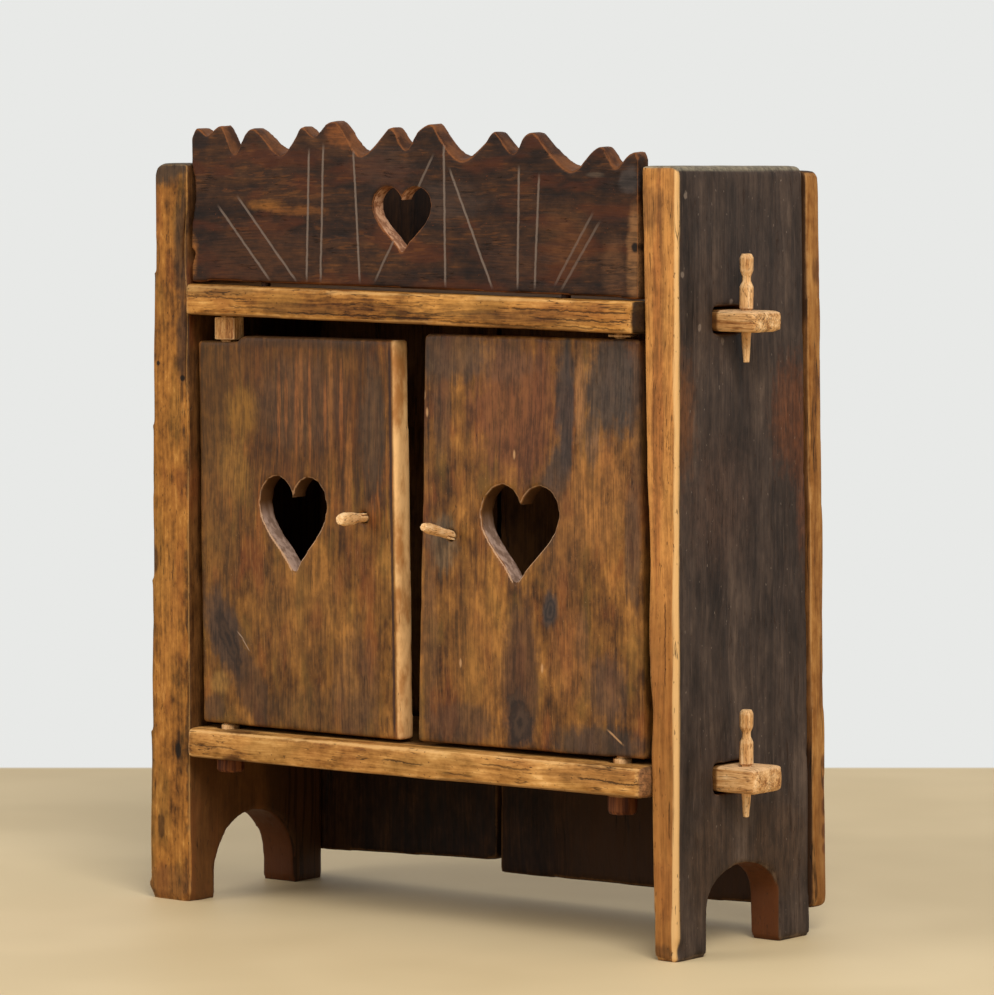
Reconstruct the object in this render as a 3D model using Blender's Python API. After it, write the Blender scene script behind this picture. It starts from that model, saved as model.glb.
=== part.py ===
"""Rustic knock-down cupboard.

Two plank sides with arched feet carry an upper and a lower board on through tenons, and tusk
pegs lock the tenons. A scalloped crest stands on the upper board, two plank doors hang on wooden
pivots, and upright boards are nailed across the back.

Metres, +Z up, the front faces -Y. The pieces are drawn with X = 0 in the middle, Y = 0 on the
front of the side boards and Z = 0 on the floor; the last step centres the footprint.
"""
import math

import bmesh
import bpy
from mathutils import Matrix, Vector

# Clearances
FIT = 0.0003
MORTISE_PLAY = 0.0012
PIVOT_PLAY = 0.0005
PEG_PLAY = 0.0004
NAIL_PLAY = 0.0004
CUT_PAST = 0.02

# Side boards: the middle lies left of the doors' meeting line, and wind says how far an outer
# face spreads from front to back at the foot and at the top
CABINET_WIDTH = 0.711
CABINET_MIDDLE = -0.0045
SIDE_HEIGHT = 0.802
SIDE_DEPTH = 0.229
SIDE_LEFT_FOOT_THICKNESS = 0.061
SIDE_LEFT_TOP_THICKNESS = 0.0485
SIDE_LEFT_LEAN = 0.0125
SIDE_LEFT_WIND = (-0.014, -0.004)
SIDE_RIGHT_FOOT_THICKNESS = 0.031
SIDE_RIGHT_TOP_THICKNESS = 0.0465
SIDE_RIGHT_LEAN = 0.002
SIDE_RIGHT_WIND = (0.0105, -0.002)
SIDE_TOP_ROUND = 0.010
SIDE_EDGE_ROUND = 0.003
SIDE_SLICES = 5

# Arches between the feet: depth of the front and the back foot, where the arch springs, its height
ARCH_LEFT = {"front": 0.043, "back": 0.051, "spring": 0.026, "height": 0.089}
ARCH_RIGHT = {"front": 0.053, "back": 0.0566, "spring": 0.050, "height": 0.087}

# Upper and lower boards: undersides at their left and right ends, which are not quite level
LOWER_BOARD_LEFT_Z = 0.1600
LOWER_BOARD_RIGHT_Z = 0.1635
LOWER_BOARD_THICKNESS = 0.033
UPPER_BOARD_LEFT_Z = 0.641
UPPER_BOARD_RIGHT_Z = 0.632
UPPER_BOARD_THICKNESS = 0.034
FRONT_OVERHANG = 0.012
OVERHANG_TRIM = 0.006
RAIL_ROUND = 0.006

# Through tenons
UPPER_TENON_WIDTH = 0.051
UPPER_TENON_THICKNESS = 0.023
UPPER_TENON_LIFT = 0.0025
LOWER_TENON_WIDTH = 0.053
LOWER_TENON_THICKNESS = 0.028
LOWER_TENON_LIFT = 0.0020
TENON_FRONT = 0.065
TENON_PROTRUSION = 0.050
TENON_ROUND = 0.003

# Tusk pegs
PEG_OFFSET = 0.021
PEG_SHANK_RADIUS = 0.0058
PEG_BODY_RADIUS = 0.0078
PEG_NECK_RADIUS = 0.0050
PEG_TIP_RADIUS = 0.0038
PEG_RISE = 0.0565
PEG_DROP = 0.0545
PEG_FACETS = 10

# Crest board
CREST_FRONT = 0.004
CREST_THICKNESS = 0.021
CREST_DRAWN_LENGTH = 0.595
CREST_LEFT_GAP = 0.0013
CREST_RIGHT_GAP = 0.0052
CREST_FOOT_LENGTH = 0.014
CREST_HOLLOW = 0.0022
CREST_HEART_WIDTH = 0.076
CREST_HEART_HEIGHT = 0.071
CREST_HEART_ALONG = 0.291
CREST_HEART_TIP = 0.0335
DOWEL_RADIUS = 0.005
DOWEL_DEPTH = 0.018
DOWEL_SPREAD = 0.200

# Left end of the crest: inset and height over its foot, with a notch and a lobe over it
CREST_LEFT_END = (
    (0.0005, 0.020), (0.0045, 0.030), (0.0050, 0.0345), (-0.0009, 0.0365), (-0.0009, 0.058),
    (0.0015, 0.072), (0.0045, 0.088), (0.0052, 0.100), (0.0045, 0.114), (0.0010, 0.125), (0.0000, 0.137),
)

# Crest outline, tops and hollows in turn: distance along the board, height of the back arris over
# the left foot, and how far the whittled bevel drops from there to the front arris
CREST_WAVE = (
    (0.000, 0.158, 0.002), (0.007, 0.168, 0.001), (0.015, 0.167, 0.002), (0.023, 0.162, 0.003),
    (0.032, 0.167, 0.002), (0.043, 0.171, 0.001), (0.051, 0.161, 0.003), (0.062, 0.144, 0.006),
    (0.074, 0.161, 0.003), (0.086, 0.168, 0.001), (0.101, 0.161, 0.003), (0.126, 0.145, 0.008),
    (0.145, 0.158, 0.003), (0.155, 0.170, 0.001), (0.172, 0.160, 0.003), (0.185, 0.170, 0.001),
    (0.199, 0.175, 0.001), (0.211, 0.167, 0.002), (0.235, 0.143, 0.007), (0.264, 0.159, 0.002),
    (0.278, 0.168, 0.001), (0.296, 0.149, 0.007), (0.312, 0.164, 0.002), (0.330, 0.171, 0.001),
    (0.340, 0.161, 0.003), (0.357, 0.144, 0.006), (0.374, 0.138, 0.006), (0.400, 0.152, 0.002),
    (0.413, 0.163, 0.001), (0.436, 0.143, 0.005), (0.449, 0.158, 0.002), (0.464, 0.161, 0.001),
    (0.482, 0.145, 0.004), (0.511, 0.127, 0.007), (0.536, 0.143, 0.002), (0.549, 0.147, 0.001),
    (0.558, 0.138, 0.003), (0.567, 0.128, 0.004), (0.580, 0.139, 0.002), (0.591, 0.142, 0.001),
)
CREST_END_HEIGHT = 0.134
WAVE_STEPS = 3

# Back boards: where the seams lie, and the height of each board's lower corners
BACK_THICKNESS = 0.028
BACK_TOP_DROP = 0.005
BACK_PROUD = 0.003
BACK_SEAMS = (-0.052, 0.175)
BACK_SEAM_GAP = 0.0015
BACK_FOOT_HEIGHTS = ((0.0285, 0.0405), (0.0275, 0.0290), (0.0225, 0.0265))
BACK_ROUND = 0.004
BACK_CORNER_ROUND = 0.009

# Nails
NAIL_WIDTH = 0.004
NAIL_LENGTH = 0.050
NAIL_HEAD_WIDTH = 0.010
NAIL_HEAD_HEIGHT = 0.0025
NAIL_SINK = 0.0005
SIDE_NAILS = 4
SIDE_NAIL_FOOT = 0.105
SIDE_NAIL_TOP_INSET = 0.062
BOARD_NAIL_SHARE = 0.18

# Doors
DOOR_FRONT = 0.010
DOOR_THICKNESS = 0.025
DOOR_ROUND = 0.002
MEETING_GAP_TOP = 0.038
MEETING_GAP_FOOT = 0.0215
MEETING_LINE_TOP = -0.0010
MEETING_LINE_FOOT = -0.00225
DOOR_STEP_LENGTH = 0.055
DOOR_STEP_DROP = 0.0065
DOOR_STEP_SLOPE = 0.008

# Gaps round each door: to the side board at foot and top, to the lower board at the hung and
# the free corner, and to the upper board; then the rounding of the free and the hung edge
DOOR_LEFT_GAPS = {"side": (0.0095, 0.0040), "foot": (0.0040, 0.0024), "head": 0.0210}
DOOR_RIGHT_GAPS = {"side": (0.0120, 0.0120), "foot": (0.0040, 0.0028), "head": 0.0045}
DOOR_LEFT_ROUNDS = (0.0060, 0.0020)
DOOR_RIGHT_ROUNDS = (0.0025, 0.0040)

# Hearts cut through the doors: width, height, the tip over the door's foot, the centre's
# distance from the door's middle, and the tip's lean
DOOR_LEFT_HEART = {"width": 0.092, "height": 0.107, "tip": 0.166, "offset": -0.0098, "lean": 0.002}
DOOR_RIGHT_HEART = {"width": 0.099, "height": 0.107, "tip": 0.1685, "offset": -0.0111, "lean": -0.008}
HEART_POINTS = 28

# Door pivots
PIVOT_LEFT_INSET = 0.040
PIVOT_RIGHT_INSET = 0.0445
PIVOT_RADIUS = 0.008
PIVOT_HOLE_DEPTH = 0.024
PIVOT_BLOCK_WIDTH = 0.029
PIVOT_BLOCK_DEPTH = 0.018
PIVOT_TONGUE_WIDTH = 0.014
PIVOT_TONGUE_DEPTH = 0.012
PIVOT_TONGUE_LENGTH = 0.028
PIN_SHANK_RADIUS = 0.0105
PIN_SPIGOT_RADIUS = 0.007
PIN_SPIGOT_LENGTH = 0.026
PIN_HEAD_RADIUS = 0.0157
PIN_HEAD_HEIGHTS = {"left": 0.0155, "right": 0.0210}
PIN_FACETS = 24

# Knobs: distance from the door's free edge and over its foot, length, radius, and tilt in degrees
KNOB_LEFT = {"inset": 0.0500, "rise": 0.234, "length": 0.040, "radius": 0.0078, "tilt": 0.0, "wedge": 1}
KNOB_RIGHT = {"inset": 0.0450, "rise": 0.2205, "length": 0.047, "radius": 0.0064, "tilt": 14.0, "wedge": -1}
KNOB_SHANK_RADIUS = 0.0056
KNOB_WEDGE_WIDTH = 0.0060
KNOB_WEDGE_THICKNESS = 0.0018
KNOB_WEDGE_PROUD = 0.008
KNOB_FACETS = 12

# Finishes: linear colour and roughness
GOLDEN_PINE = ((0.34, 0.16, 0.055), 0.55)
DARK_SIDE = ((0.055, 0.034, 0.022), 0.60)
DARK_CREST = ((0.085, 0.036, 0.020), 0.55)
DOOR_BROWN = ((0.19, 0.090, 0.035), 0.50)
PALE_PEG = ((0.52, 0.31, 0.13), 0.60)
BACK_BROWN = ((0.060, 0.032, 0.018), 0.70)
FORGED_IRON = ((0.030, 0.028, 0.027), 0.75)


class SideBoard:
    """Where the outer and inner faces of one tapered, winding side board lie at any height"""

    def __init__(self, hand, foot_thickness, top_thickness, lean, wind, arch):
        self.hand = hand
        self.foot_thickness = foot_thickness
        self.top_thickness = top_thickness
        self.lean = lean
        self.wind = wind
        self.arch = arch

    def outer(self, z, y=0.0):
        share = z / SIDE_HEIGHT
        foot_wind, top_wind = self.wind
        spread = (foot_wind + (top_wind - foot_wind) * share) * y / SIDE_DEPTH
        return CABINET_MIDDLE + self.hand * (CABINET_WIDTH / 2 - self.lean * share + spread)

    def inner(self, z):
        taper = (self.top_thickness - self.foot_thickness) * z / SIDE_HEIGHT
        return self.outer(z) - self.hand * (self.foot_thickness + taper)

    def middle(self, z, y=0.0):
        return (self.outer(z, y) + self.inner(z)) / 2

    def back_edge(self, z):
        """X of the outer edge of the back boards, which stands a little proud of the side board"""
        return self.outer(z, SIDE_DEPTH) + self.hand * BACK_PROUD


LEFT = SideBoard(-1, SIDE_LEFT_FOOT_THICKNESS, SIDE_LEFT_TOP_THICKNESS, SIDE_LEFT_LEAN,
                 SIDE_LEFT_WIND, ARCH_LEFT)
RIGHT = SideBoard(1, SIDE_RIGHT_FOOT_THICKNESS, SIDE_RIGHT_TOP_THICKNESS, SIDE_RIGHT_LEAN,
                  SIDE_RIGHT_WIND, ARCH_RIGHT)


class CrossBoard:
    """Heights and tenons of the upper or the lower board"""

    def __init__(self, left_z, right_z, thickness, tenon_width, tenon_thickness, tenon_lift):
        self.thickness = thickness
        self.tenon_width = tenon_width
        self.tenon_thickness = tenon_thickness
        self.tenon_lift = tenon_lift
        self.left_x = LEFT.inner(left_z)
        self.left_z = left_z
        self.slope = (right_z - left_z) / (RIGHT.inner(right_z) - self.left_x)

    def bottom(self, x):
        return self.left_z + self.slope * (x - self.left_x)

    def top(self, x):
        return self.bottom(x) + self.thickness

    def tenon_top(self, x):
        return self.bottom(x) + self.tenon_lift + self.tenon_thickness

    def tenon_end(self, side):
        """X of the tenon's end beyond one side board"""
        return side.outer(self.left_z) + side.hand * TENON_PROTRUSION

    def peg_place(self, side):
        """X and Y of the tusk peg's axis in one tenon"""
        return side.outer(self.left_z) + side.hand * PEG_OFFSET, TENON_FRONT + self.tenon_width / 2


LOWER = CrossBoard(LOWER_BOARD_LEFT_Z, LOWER_BOARD_RIGHT_Z, LOWER_BOARD_THICKNESS,
                   LOWER_TENON_WIDTH, LOWER_TENON_THICKNESS, LOWER_TENON_LIFT)
UPPER = CrossBoard(UPPER_BOARD_LEFT_Z, UPPER_BOARD_RIGHT_Z, UPPER_BOARD_THICKNESS,
                   UPPER_TENON_WIDTH, UPPER_TENON_THICKNESS, UPPER_TENON_LIFT)

DOOR_MIDDLE_Y = DOOR_FRONT + DOOR_THICKNESS / 2
BACK_FRONT = SIDE_DEPTH + FIT
BACK_OUTER = BACK_FRONT + BACK_THICKNESS
BACK_TOP = SIDE_HEIGHT - BACK_TOP_DROP


class Door:
    """Corners of one plank door in the front plane as (x, z), its pivot axis and its fittings"""

    def __init__(self, side, gaps, rounds, pivot_inset, step_drop, heart, knob):
        hand = side.hand
        self.hand = hand
        self.rounds = rounds
        self.step_drop = step_drop
        self.heart = heart
        self.knob = knob
        middle_z = (LOWER.top(0) + UPPER.bottom(0)) / 2
        free_x = MEETING_LINE_FOOT + hand * MEETING_GAP_FOOT / 2
        hung_z = LOWER.top(side.inner(LOWER.left_z)) + gaps["foot"][0]
        top_z = UPPER.bottom(side.inner(UPPER.left_z)) - gaps["head"]
        self.free_foot = (free_x, LOWER.top(free_x) + gaps["foot"][1])
        self.hung_foot = (side.inner(hung_z) - hand * gaps["side"][0], hung_z)
        self.free_top = (MEETING_LINE_TOP + hand * MEETING_GAP_TOP / 2, top_z)
        self.hung_top = (side.inner(top_z) - hand * gaps["side"][1], top_z - step_drop)
        self.axis = (side.inner(middle_z) - hand * pivot_inset, DOOR_MIDDLE_Y)

    def outline(self):
        step = []
        if self.step_drop:
            x = self.hung_top[0] - self.hand * DOOR_STEP_LENGTH
            step = [(x - self.hand * DOOR_STEP_SLOPE, self.free_top[1]), (x, self.hung_top[1])]
        return [self.hung_foot, self.free_foot, self.free_top] + step + [self.hung_top]

    def foot(self, reach):
        """Lowest point of the door's foot within reach of the pivot axis"""
        (x0, z0), (x1, z1) = self.free_foot, self.hung_foot
        slope = (z1 - z0) / (x1 - x0)
        return z0 + slope * (self.axis[0] - x0) - abs(slope) * reach


DOOR_LEFT = Door(LEFT, DOOR_LEFT_GAPS, DOOR_LEFT_ROUNDS, PIVOT_LEFT_INSET,
                 DOOR_STEP_DROP, DOOR_LEFT_HEART, KNOB_LEFT)
DOOR_RIGHT = Door(RIGHT, DOOR_RIGHT_GAPS, DOOR_RIGHT_ROUNDS, PIVOT_RIGHT_INSET,
                  0, DOOR_RIGHT_HEART, KNOB_RIGHT)


# Drawing helpers

def prism(outline, start, end, along):
    """Extrude a closed outline from start to end along the x, y or z axis"""
    placed = {
        "x": lambda u, v: Vector((start, u, v)),
        "y": lambda u, v: Vector((u, start, v)),
        "z": lambda u, v: Vector((u, v, start)),
    }[along]
    travel = {"x": Vector((1, 0, 0)), "y": Vector((0, 1, 0)), "z": Vector((0, 0, 1))}[along]
    bm = bmesh.new()
    base = bm.faces.new([bm.verts.new(placed(u, v)) for u, v in outline])
    grown = bmesh.ops.extrude_face_region(bm, geom=[base])
    moved = [part for part in grown["geom"] if isinstance(part, bmesh.types.BMVert)]
    bmesh.ops.translate(bm, verts=moved, vec=travel * (end - start))
    bmesh.ops.recalc_face_normals(bm, faces=bm.faces)
    return bm


def box(low, high):
    """A box between two corners"""
    outline = ((low[0], low[1]), (high[0], low[1]), (high[0], high[1]), (low[0], high[1]))
    return prism(outline, low[2], high[2], "z")


def turned(profile, facets):
    """Spin a profile of (radius, height) points round the z axis into a closed solid"""
    bm = bmesh.new()
    points = [bm.verts.new((radius, 0, height)) for radius, height in profile]
    edges = [bm.edges.new(pair) for pair in zip(points, points[1:])]
    bmesh.ops.spin(bm, geom=points + edges, axis=(0, 0, 1), cent=(0, 0, 0),
                   angle=math.tau, steps=facets, use_merge=True)
    bmesh.ops.remove_doubles(bm, verts=bm.verts, dist=1e-6)
    bmesh.ops.recalc_face_normals(bm, faces=bm.faces)
    return bm


def rod(radius, bottom, top, facets):
    """A plain round rod on the z axis"""
    return turned(((0, bottom), (radius, bottom), (radius, top), (0, top)), facets)


def moved(bm, x=0.0, y=0.0, z=0.0):
    bmesh.ops.translate(bm, verts=bm.verts, vec=(x, y, z))
    return bm


def gathered(parts):
    """Put several separate solids into one mesh"""
    whole = bmesh.new()
    for part in parts:
        scratch = bpy.data.meshes.new("scratch")
        part.to_mesh(scratch)
        part.free()
        whole.from_mesh(scratch)
        bpy.data.meshes.remove(scratch)
    return whole


def round_edges(bm, width, segments, chosen=lambda edge: True, least_angle=35):
    """Round the sharp outer edges that are chosen"""
    sharp = [
        edge for edge in bm.edges
        if edge.is_convex and edge.calc_face_angle(0) > math.radians(least_angle) and chosen(edge)
    ]
    bmesh.ops.bevel(bm, geom=sharp, offset=width, segments=segments, profile=0.5,
                    affect="EDGES", material=-1, clamp_overlap=True)
    return bm


def heart_outline(width, height, centre, tip, lean):
    """A heart as (x, z) points, its tip at the bottom and moved sideways by lean"""
    points = []
    for step in range(HEART_POINTS):
        turn = math.tau * step / HEART_POINTS
        across = math.sin(turn) ** 3
        up = 13 * math.cos(turn) - 5 * math.cos(2 * turn) - 2 * math.cos(3 * turn) - math.cos(4 * turn)
        share = (up + 17) / 29
        points.append((centre + across * width / 2 + lean * (1 - share), tip + share * height))
    return points


def smooth_line(points, steps):
    """A curve through the points (Catmull-Rom), with steps stretches between each two"""
    ends = [points[0]] + list(points) + [points[-1]]
    curve = []
    for before, start, end, after in zip(ends, ends[1:], ends[2:], ends[3:]):
        for step in range(steps):
            t = step / steps
            curve.append(tuple(
                0.5 * (2 * b + (c - a) * t + (2 * a - 5 * b + 4 * c - d) * t ** 2
                       + (3 * b - a - 3 * c + d) * t ** 3)
                for a, b, c, d in zip(before, start, end, after)
            ))
    curve.append(points[-1])
    return curve


# Scene helpers

def clear_scene():
    for old in list(bpy.data.objects):
        bpy.data.objects.remove(old, do_unlink=True)


def wood(name, finish):
    colour, roughness = finish
    material = bpy.data.materials.new(name)
    material.use_nodes = True
    shader = material.node_tree.nodes["Principled BSDF"]
    shader.inputs["Base Color"].default_value = (*colour, 1.0)
    shader.inputs["Roughness"].default_value = roughness
    shader.inputs["Metallic"].default_value = 0.0
    material.diffuse_color = (*colour, 1.0)
    return material


def empty(name, place, parent=None):
    holder = bpy.data.objects.new(name, None)
    holder.empty_display_size = 0.05
    holder.location = place
    holder.parent = parent
    bpy.context.collection.objects.link(holder)
    return holder


def add_piece(name, bm, finish, parent, origin=(0, 0, 0)):
    """Make an object from a mesh drawn in the parent's frame, with its own origin"""
    bmesh.ops.translate(bm, verts=bm.verts, vec=-Vector(origin))
    mesh = bpy.data.meshes.new(name)
    bm.to_mesh(mesh)
    bm.free()
    piece = bpy.data.objects.new(name, mesh)
    piece.location = origin
    piece.parent = parent
    bpy.context.collection.objects.link(piece)
    if finish:
        mesh.materials.append(wood(name, finish))
    return piece


def add_cutter(name, bm, parent):
    cutter = add_piece(name, bm, None, parent)
    cutter.hide_render = True
    cutter.display_type = "WIRE"
    return cutter


def cut(piece, *cutters):
    for cutter in cutters:
        modifier = piece.modifiers.new(cutter.name, "BOOLEAN")
        modifier.operation = "DIFFERENCE"
        modifier.solver = "EXACT"
        modifier.object = cutter


def join(piece, bm, name):
    """Add another shape to a piece as one solid"""
    partner = add_cutter(name, bm, piece.parent)
    modifier = piece.modifiers.new(name, "BOOLEAN")
    modifier.operation = "UNION"
    modifier.solver = "EXACT"
    modifier.object = partner


# Pieces

def side_outline(shape):
    """Depth and height outline of a side board with the arch between its two feet"""
    arch_front = shape["front"]
    arch_back = SIDE_DEPTH - shape["back"]
    centre = (arch_front + arch_back) / 2
    reach = (arch_back - arch_front) / 2
    rise = shape["height"] - shape["spring"]
    steps = 14
    arch = [
        (centre - reach * math.cos(math.pi * step / steps),
         shape["spring"] + rise * math.sin(math.pi * step / steps))
        for step in range(steps + 1)
    ]
    return ([(0, 0), (arch_front, 0)] + arch
            + [(arch_back, 0), (SIDE_DEPTH, 0), (SIDE_DEPTH, SIDE_HEIGHT), (0, SIDE_HEIGHT)])


def side_board(name, side, parent, cutters):
    """A plank whose two faces follow the board's taper and wind"""
    bm = prism(side_outline(side.arch), 0, 1, "x")
    for number in range(1, SIDE_SLICES):
        bmesh.ops.bisect_plane(bm, geom=bm.verts[:] + bm.edges[:] + bm.faces[:], dist=1e-7,
                               plane_co=(0, 0, SIDE_HEIGHT * number / SIDE_SLICES), plane_no=(0, 0, 1))
    for vert in bm.verts:
        vert.co.x = side.outer(vert.co.z, vert.co.y) if vert.co.x > 0.5 else side.inner(vert.co.z)
    bmesh.ops.recalc_face_normals(bm, faces=bm.faces)
    round_edges(bm, SIDE_TOP_ROUND, 3, lambda edge: all(
        v.co.z > SIDE_HEIGHT - 1e-5 and abs(v.co.x - side.outer(v.co.z, v.co.y)) < 1e-5
        for v in edge.verts))
    round_edges(bm, SIDE_EDGE_ROUND, 2)
    bmesh.ops.triangulate(bm, faces=bm.faces)
    piece = add_piece(name, bm, DARK_SIDE, parent)
    cut(piece, *cutters)
    return piece


def cross_board(name, board, parent, cutters):
    """A board between the sides, its front overhang as a rail and a tenon on each end"""
    half = CABINET_WIDTH / 2
    front = -FRONT_OVERHANG
    trim = half - OVERHANG_TRIM
    outline = ((-trim, front), (trim, front), (half, 0), (half, SIDE_DEPTH), (-half, SIDE_DEPTH), (-half, 0))
    bm = prism(outline, 0, board.thickness, "z")
    tenon_back = TENON_FRONT + board.tenon_width
    tenon_top = board.tenon_lift + board.tenon_thickness
    for place, normal in (((0, TENON_FRONT, 0), (0, 1, 0)), ((0, tenon_back, 0), (0, 1, 0)),
                          ((0, 0, board.tenon_lift), (0, 0, 1)), ((0, 0, tenon_top), (0, 0, 1))):
        bmesh.ops.bisect_plane(bm, geom=bm.verts[:] + bm.edges[:] + bm.faces[:],
                               plane_co=place, plane_no=normal, dist=1e-7)
    tenon_end = {}
    for side in (LEFT, RIGHT):
        roots = [
            face for face in bm.faces
            if face.normal.x * side.hand > 0.9
            and TENON_FRONT < face.calc_center_median().y < tenon_back
            and board.tenon_lift < face.calc_center_median().z < tenon_top
        ]
        grown = bmesh.ops.extrude_discrete_faces(bm, faces=roots)
        tenon_end[side.hand] = [vert for face in grown["faces"] for vert in face.verts]
    ends = set(tenon_end[-1] + tenon_end[1])
    for vert in bm.verts:
        side = LEFT if vert.co.x < 0 else RIGHT
        height = board.bottom(side.inner(board.left_z)) + vert.co.z
        inset = half - abs(vert.co.x)
        if vert in ends:
            vert.co.x = board.tenon_end(side)
            height = board.bottom(vert.co.x) + vert.co.z
        else:
            vert.co.x = side.inner(height) - side.hand * (FIT + inset)
        vert.co.z = height
    bmesh.ops.recalc_face_normals(bm, faces=bm.faces)
    round_edges(bm, TENON_ROUND, 2, lambda edge: all(
        abs(v.co.x) > half + TENON_PROTRUSION / 2 for v in edge.verts))
    round_edges(bm, RAIL_ROUND, 3, lambda edge: all(
        v.co.y < -FRONT_OVERHANG + 1e-5 for v in edge.verts))
    piece = add_piece(name, bm, GOLDEN_PINE, parent)
    cut(piece, *cutters)
    return piece


def mortises():
    """Openings in the side boards, a little wider than the tenons that pass through them"""
    shapes = []
    for board in (LOWER, UPPER):
        for side in (LEFT, RIGHT):
            inside = side.inner(board.left_z) - side.hand * CUT_PAST
            outside = board.tenon_end(side)
            centre = board.bottom(side.middle(board.left_z)) + board.tenon_lift
            low = (min(inside, outside), TENON_FRONT - MORTISE_PLAY, centre - MORTISE_PLAY)
            high = (max(inside, outside), TENON_FRONT + board.tenon_width + MORTISE_PLAY,
                    centre + board.tenon_thickness + MORTISE_PLAY)
            shapes.append(box(low, high))
    return gathered(shapes)


def peg_holes():
    """A round hole through each tenon for its tusk peg"""
    shapes = []
    for board in (LOWER, UPPER):
        for side in (LEFT, RIGHT):
            x, y = board.peg_place(side)
            hole = rod(PEG_SHANK_RADIUS + PEG_PLAY, board.bottom(x) - CUT_PAST, board.top(x) + CUT_PAST, 16)
            shapes.append(moved(hole, x, y))
    return gathered(shapes)


def tusk_peg(name, board, side, parent):
    """A whittled peg that drops through a tenon: tapered tail, shoulder, neck and head"""
    tenon = board.tenon_thickness
    profile = (
        (0, -PEG_DROP),
        (PEG_TIP_RADIUS, -PEG_DROP),
        (PEG_SHANK_RADIUS, -tenon),
        (PEG_SHANK_RADIUS, 0),
        (PEG_BODY_RADIUS, 0),
        (PEG_BODY_RADIUS, 0.40 * PEG_RISE),
        (PEG_NECK_RADIUS, 0.50 * PEG_RISE),
        (PEG_NECK_RADIUS, 0.58 * PEG_RISE),
        (0.97 * PEG_BODY_RADIUS, 0.68 * PEG_RISE),
        (PEG_BODY_RADIUS, 0.92 * PEG_RISE),
        (0.7 * PEG_BODY_RADIUS, PEG_RISE),
        (0, PEG_RISE),
    )
    x, y = board.peg_place(side)
    seat = max(board.tenon_top(x - PEG_BODY_RADIUS), board.tenon_top(x + PEG_BODY_RADIUS)) + FIT
    peg = moved(turned(profile, PEG_FACETS), x, y, seat)
    return add_piece(name, peg, PALE_PEG, parent, origin=(x, y, seat))


def crest_ends():
    """X of the crest's left and right ends, between the side boards"""
    return LEFT.inner(UPPER.left_z) + CREST_LEFT_GAP, RIGHT.inner(SIDE_HEIGHT) - CREST_RIGHT_GAP


def crest_along(distance):
    """X at a distance along the crest, which stretches with the cabinet"""
    left, right = crest_ends()
    return left + distance * (right - left) / CREST_DRAWN_LENGTH


def crest_outline(bevel):
    """Length and height of the crest's corners, lowered by a share of the bevel along its top"""
    left, right = crest_ends()
    base = UPPER.top(left) + FIT

    def seat(x):
        return UPPER.top(x) + FIT

    wave = [
        (crest_along(along), base + height - bevel * drop)
        for along, height, drop in smooth_line(CREST_WAVE, WAVE_STEPS)
    ]
    left_edge = [(left, seat(left))] + [(left + inset, base + height) for inset, height in CREST_LEFT_END]
    foot = [
        (right, seat(right)),
        (right - CREST_FOOT_LENGTH, seat(right)),
        (right - 2 * CREST_FOOT_LENGTH, seat(right) + CREST_HOLLOW),
        (left + 2 * CREST_FOOT_LENGTH, seat(left) + CREST_HOLLOW),
        (left + CREST_FOOT_LENGTH, seat(left)),
    ]
    return left_edge + wave + [(right, base + CREST_END_HEIGHT)] + foot


def crest_board(parent, cutters):
    """A scalloped board whose top edge is bevelled towards the front"""
    bm = bmesh.new()
    front = [bm.verts.new((x, CREST_FRONT, z)) for x, z in crest_outline(1)]
    back = [bm.verts.new((x, CREST_FRONT + CREST_THICKNESS, z)) for x, z in crest_outline(0)]
    bm.faces.new(front)
    bm.faces.new(back)
    for near, far, next_near, next_far in zip(front, back, front[1:] + front[:1], back[1:] + back[:1]):
        bm.faces.new((near, far, next_far, next_near))
    bmesh.ops.triangulate(bm, faces=[face for face in bm.faces if len(face.verts) == 4])
    bmesh.ops.recalc_face_normals(bm, faces=bm.faces)
    piece = add_piece("crest_board", bm, DARK_CREST, parent)
    cut(piece, *cutters)
    return piece


def crest_heart():
    tip = UPPER.top(crest_ends()[0]) + CREST_HEART_TIP
    outline = heart_outline(CREST_HEART_WIDTH, CREST_HEART_HEIGHT, crest_along(CREST_HEART_ALONG), tip, 0)
    return prism(outline, CREST_FRONT - CUT_PAST, CREST_FRONT + CREST_THICKNESS + CUT_PAST, "y")


def dowel(hand, play):
    """A dowel half in the upper board and half in the crest, or its hole when play is given"""
    x = hand * DOWEL_SPREAD
    deep = DOWEL_DEPTH + play
    rod_shape = rod(DOWEL_RADIUS + play, UPPER.top(x) - deep, UPPER.top(x) + CREST_HOLLOW + deep, 12)
    return moved(rod_shape, x, CREST_FRONT + CREST_THICKNESS / 2)


def back_board_edges(z):
    """Left and right edge of each back board at one height"""
    gap = BACK_SEAM_GAP / 2
    starts = [LEFT.back_edge(z)] + [seam + gap for seam in BACK_SEAMS]
    ends = [seam - gap for seam in BACK_SEAMS] + [RIGHT.back_edge(z)]
    return list(zip(starts, ends))


def is_cabinet_corner(edge):
    """Whether an edge of a back board runs from front to back at a corner of the whole cabinet"""
    (start_x, _, start_z), (end_x, _, end_z) = (vert.co for vert in edge.verts)
    between = min(BACK_SEAMS) - BACK_THICKNESS < start_x < max(BACK_SEAMS) + BACK_THICKNESS
    return start_x == end_x and start_z == end_z and not between


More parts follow.
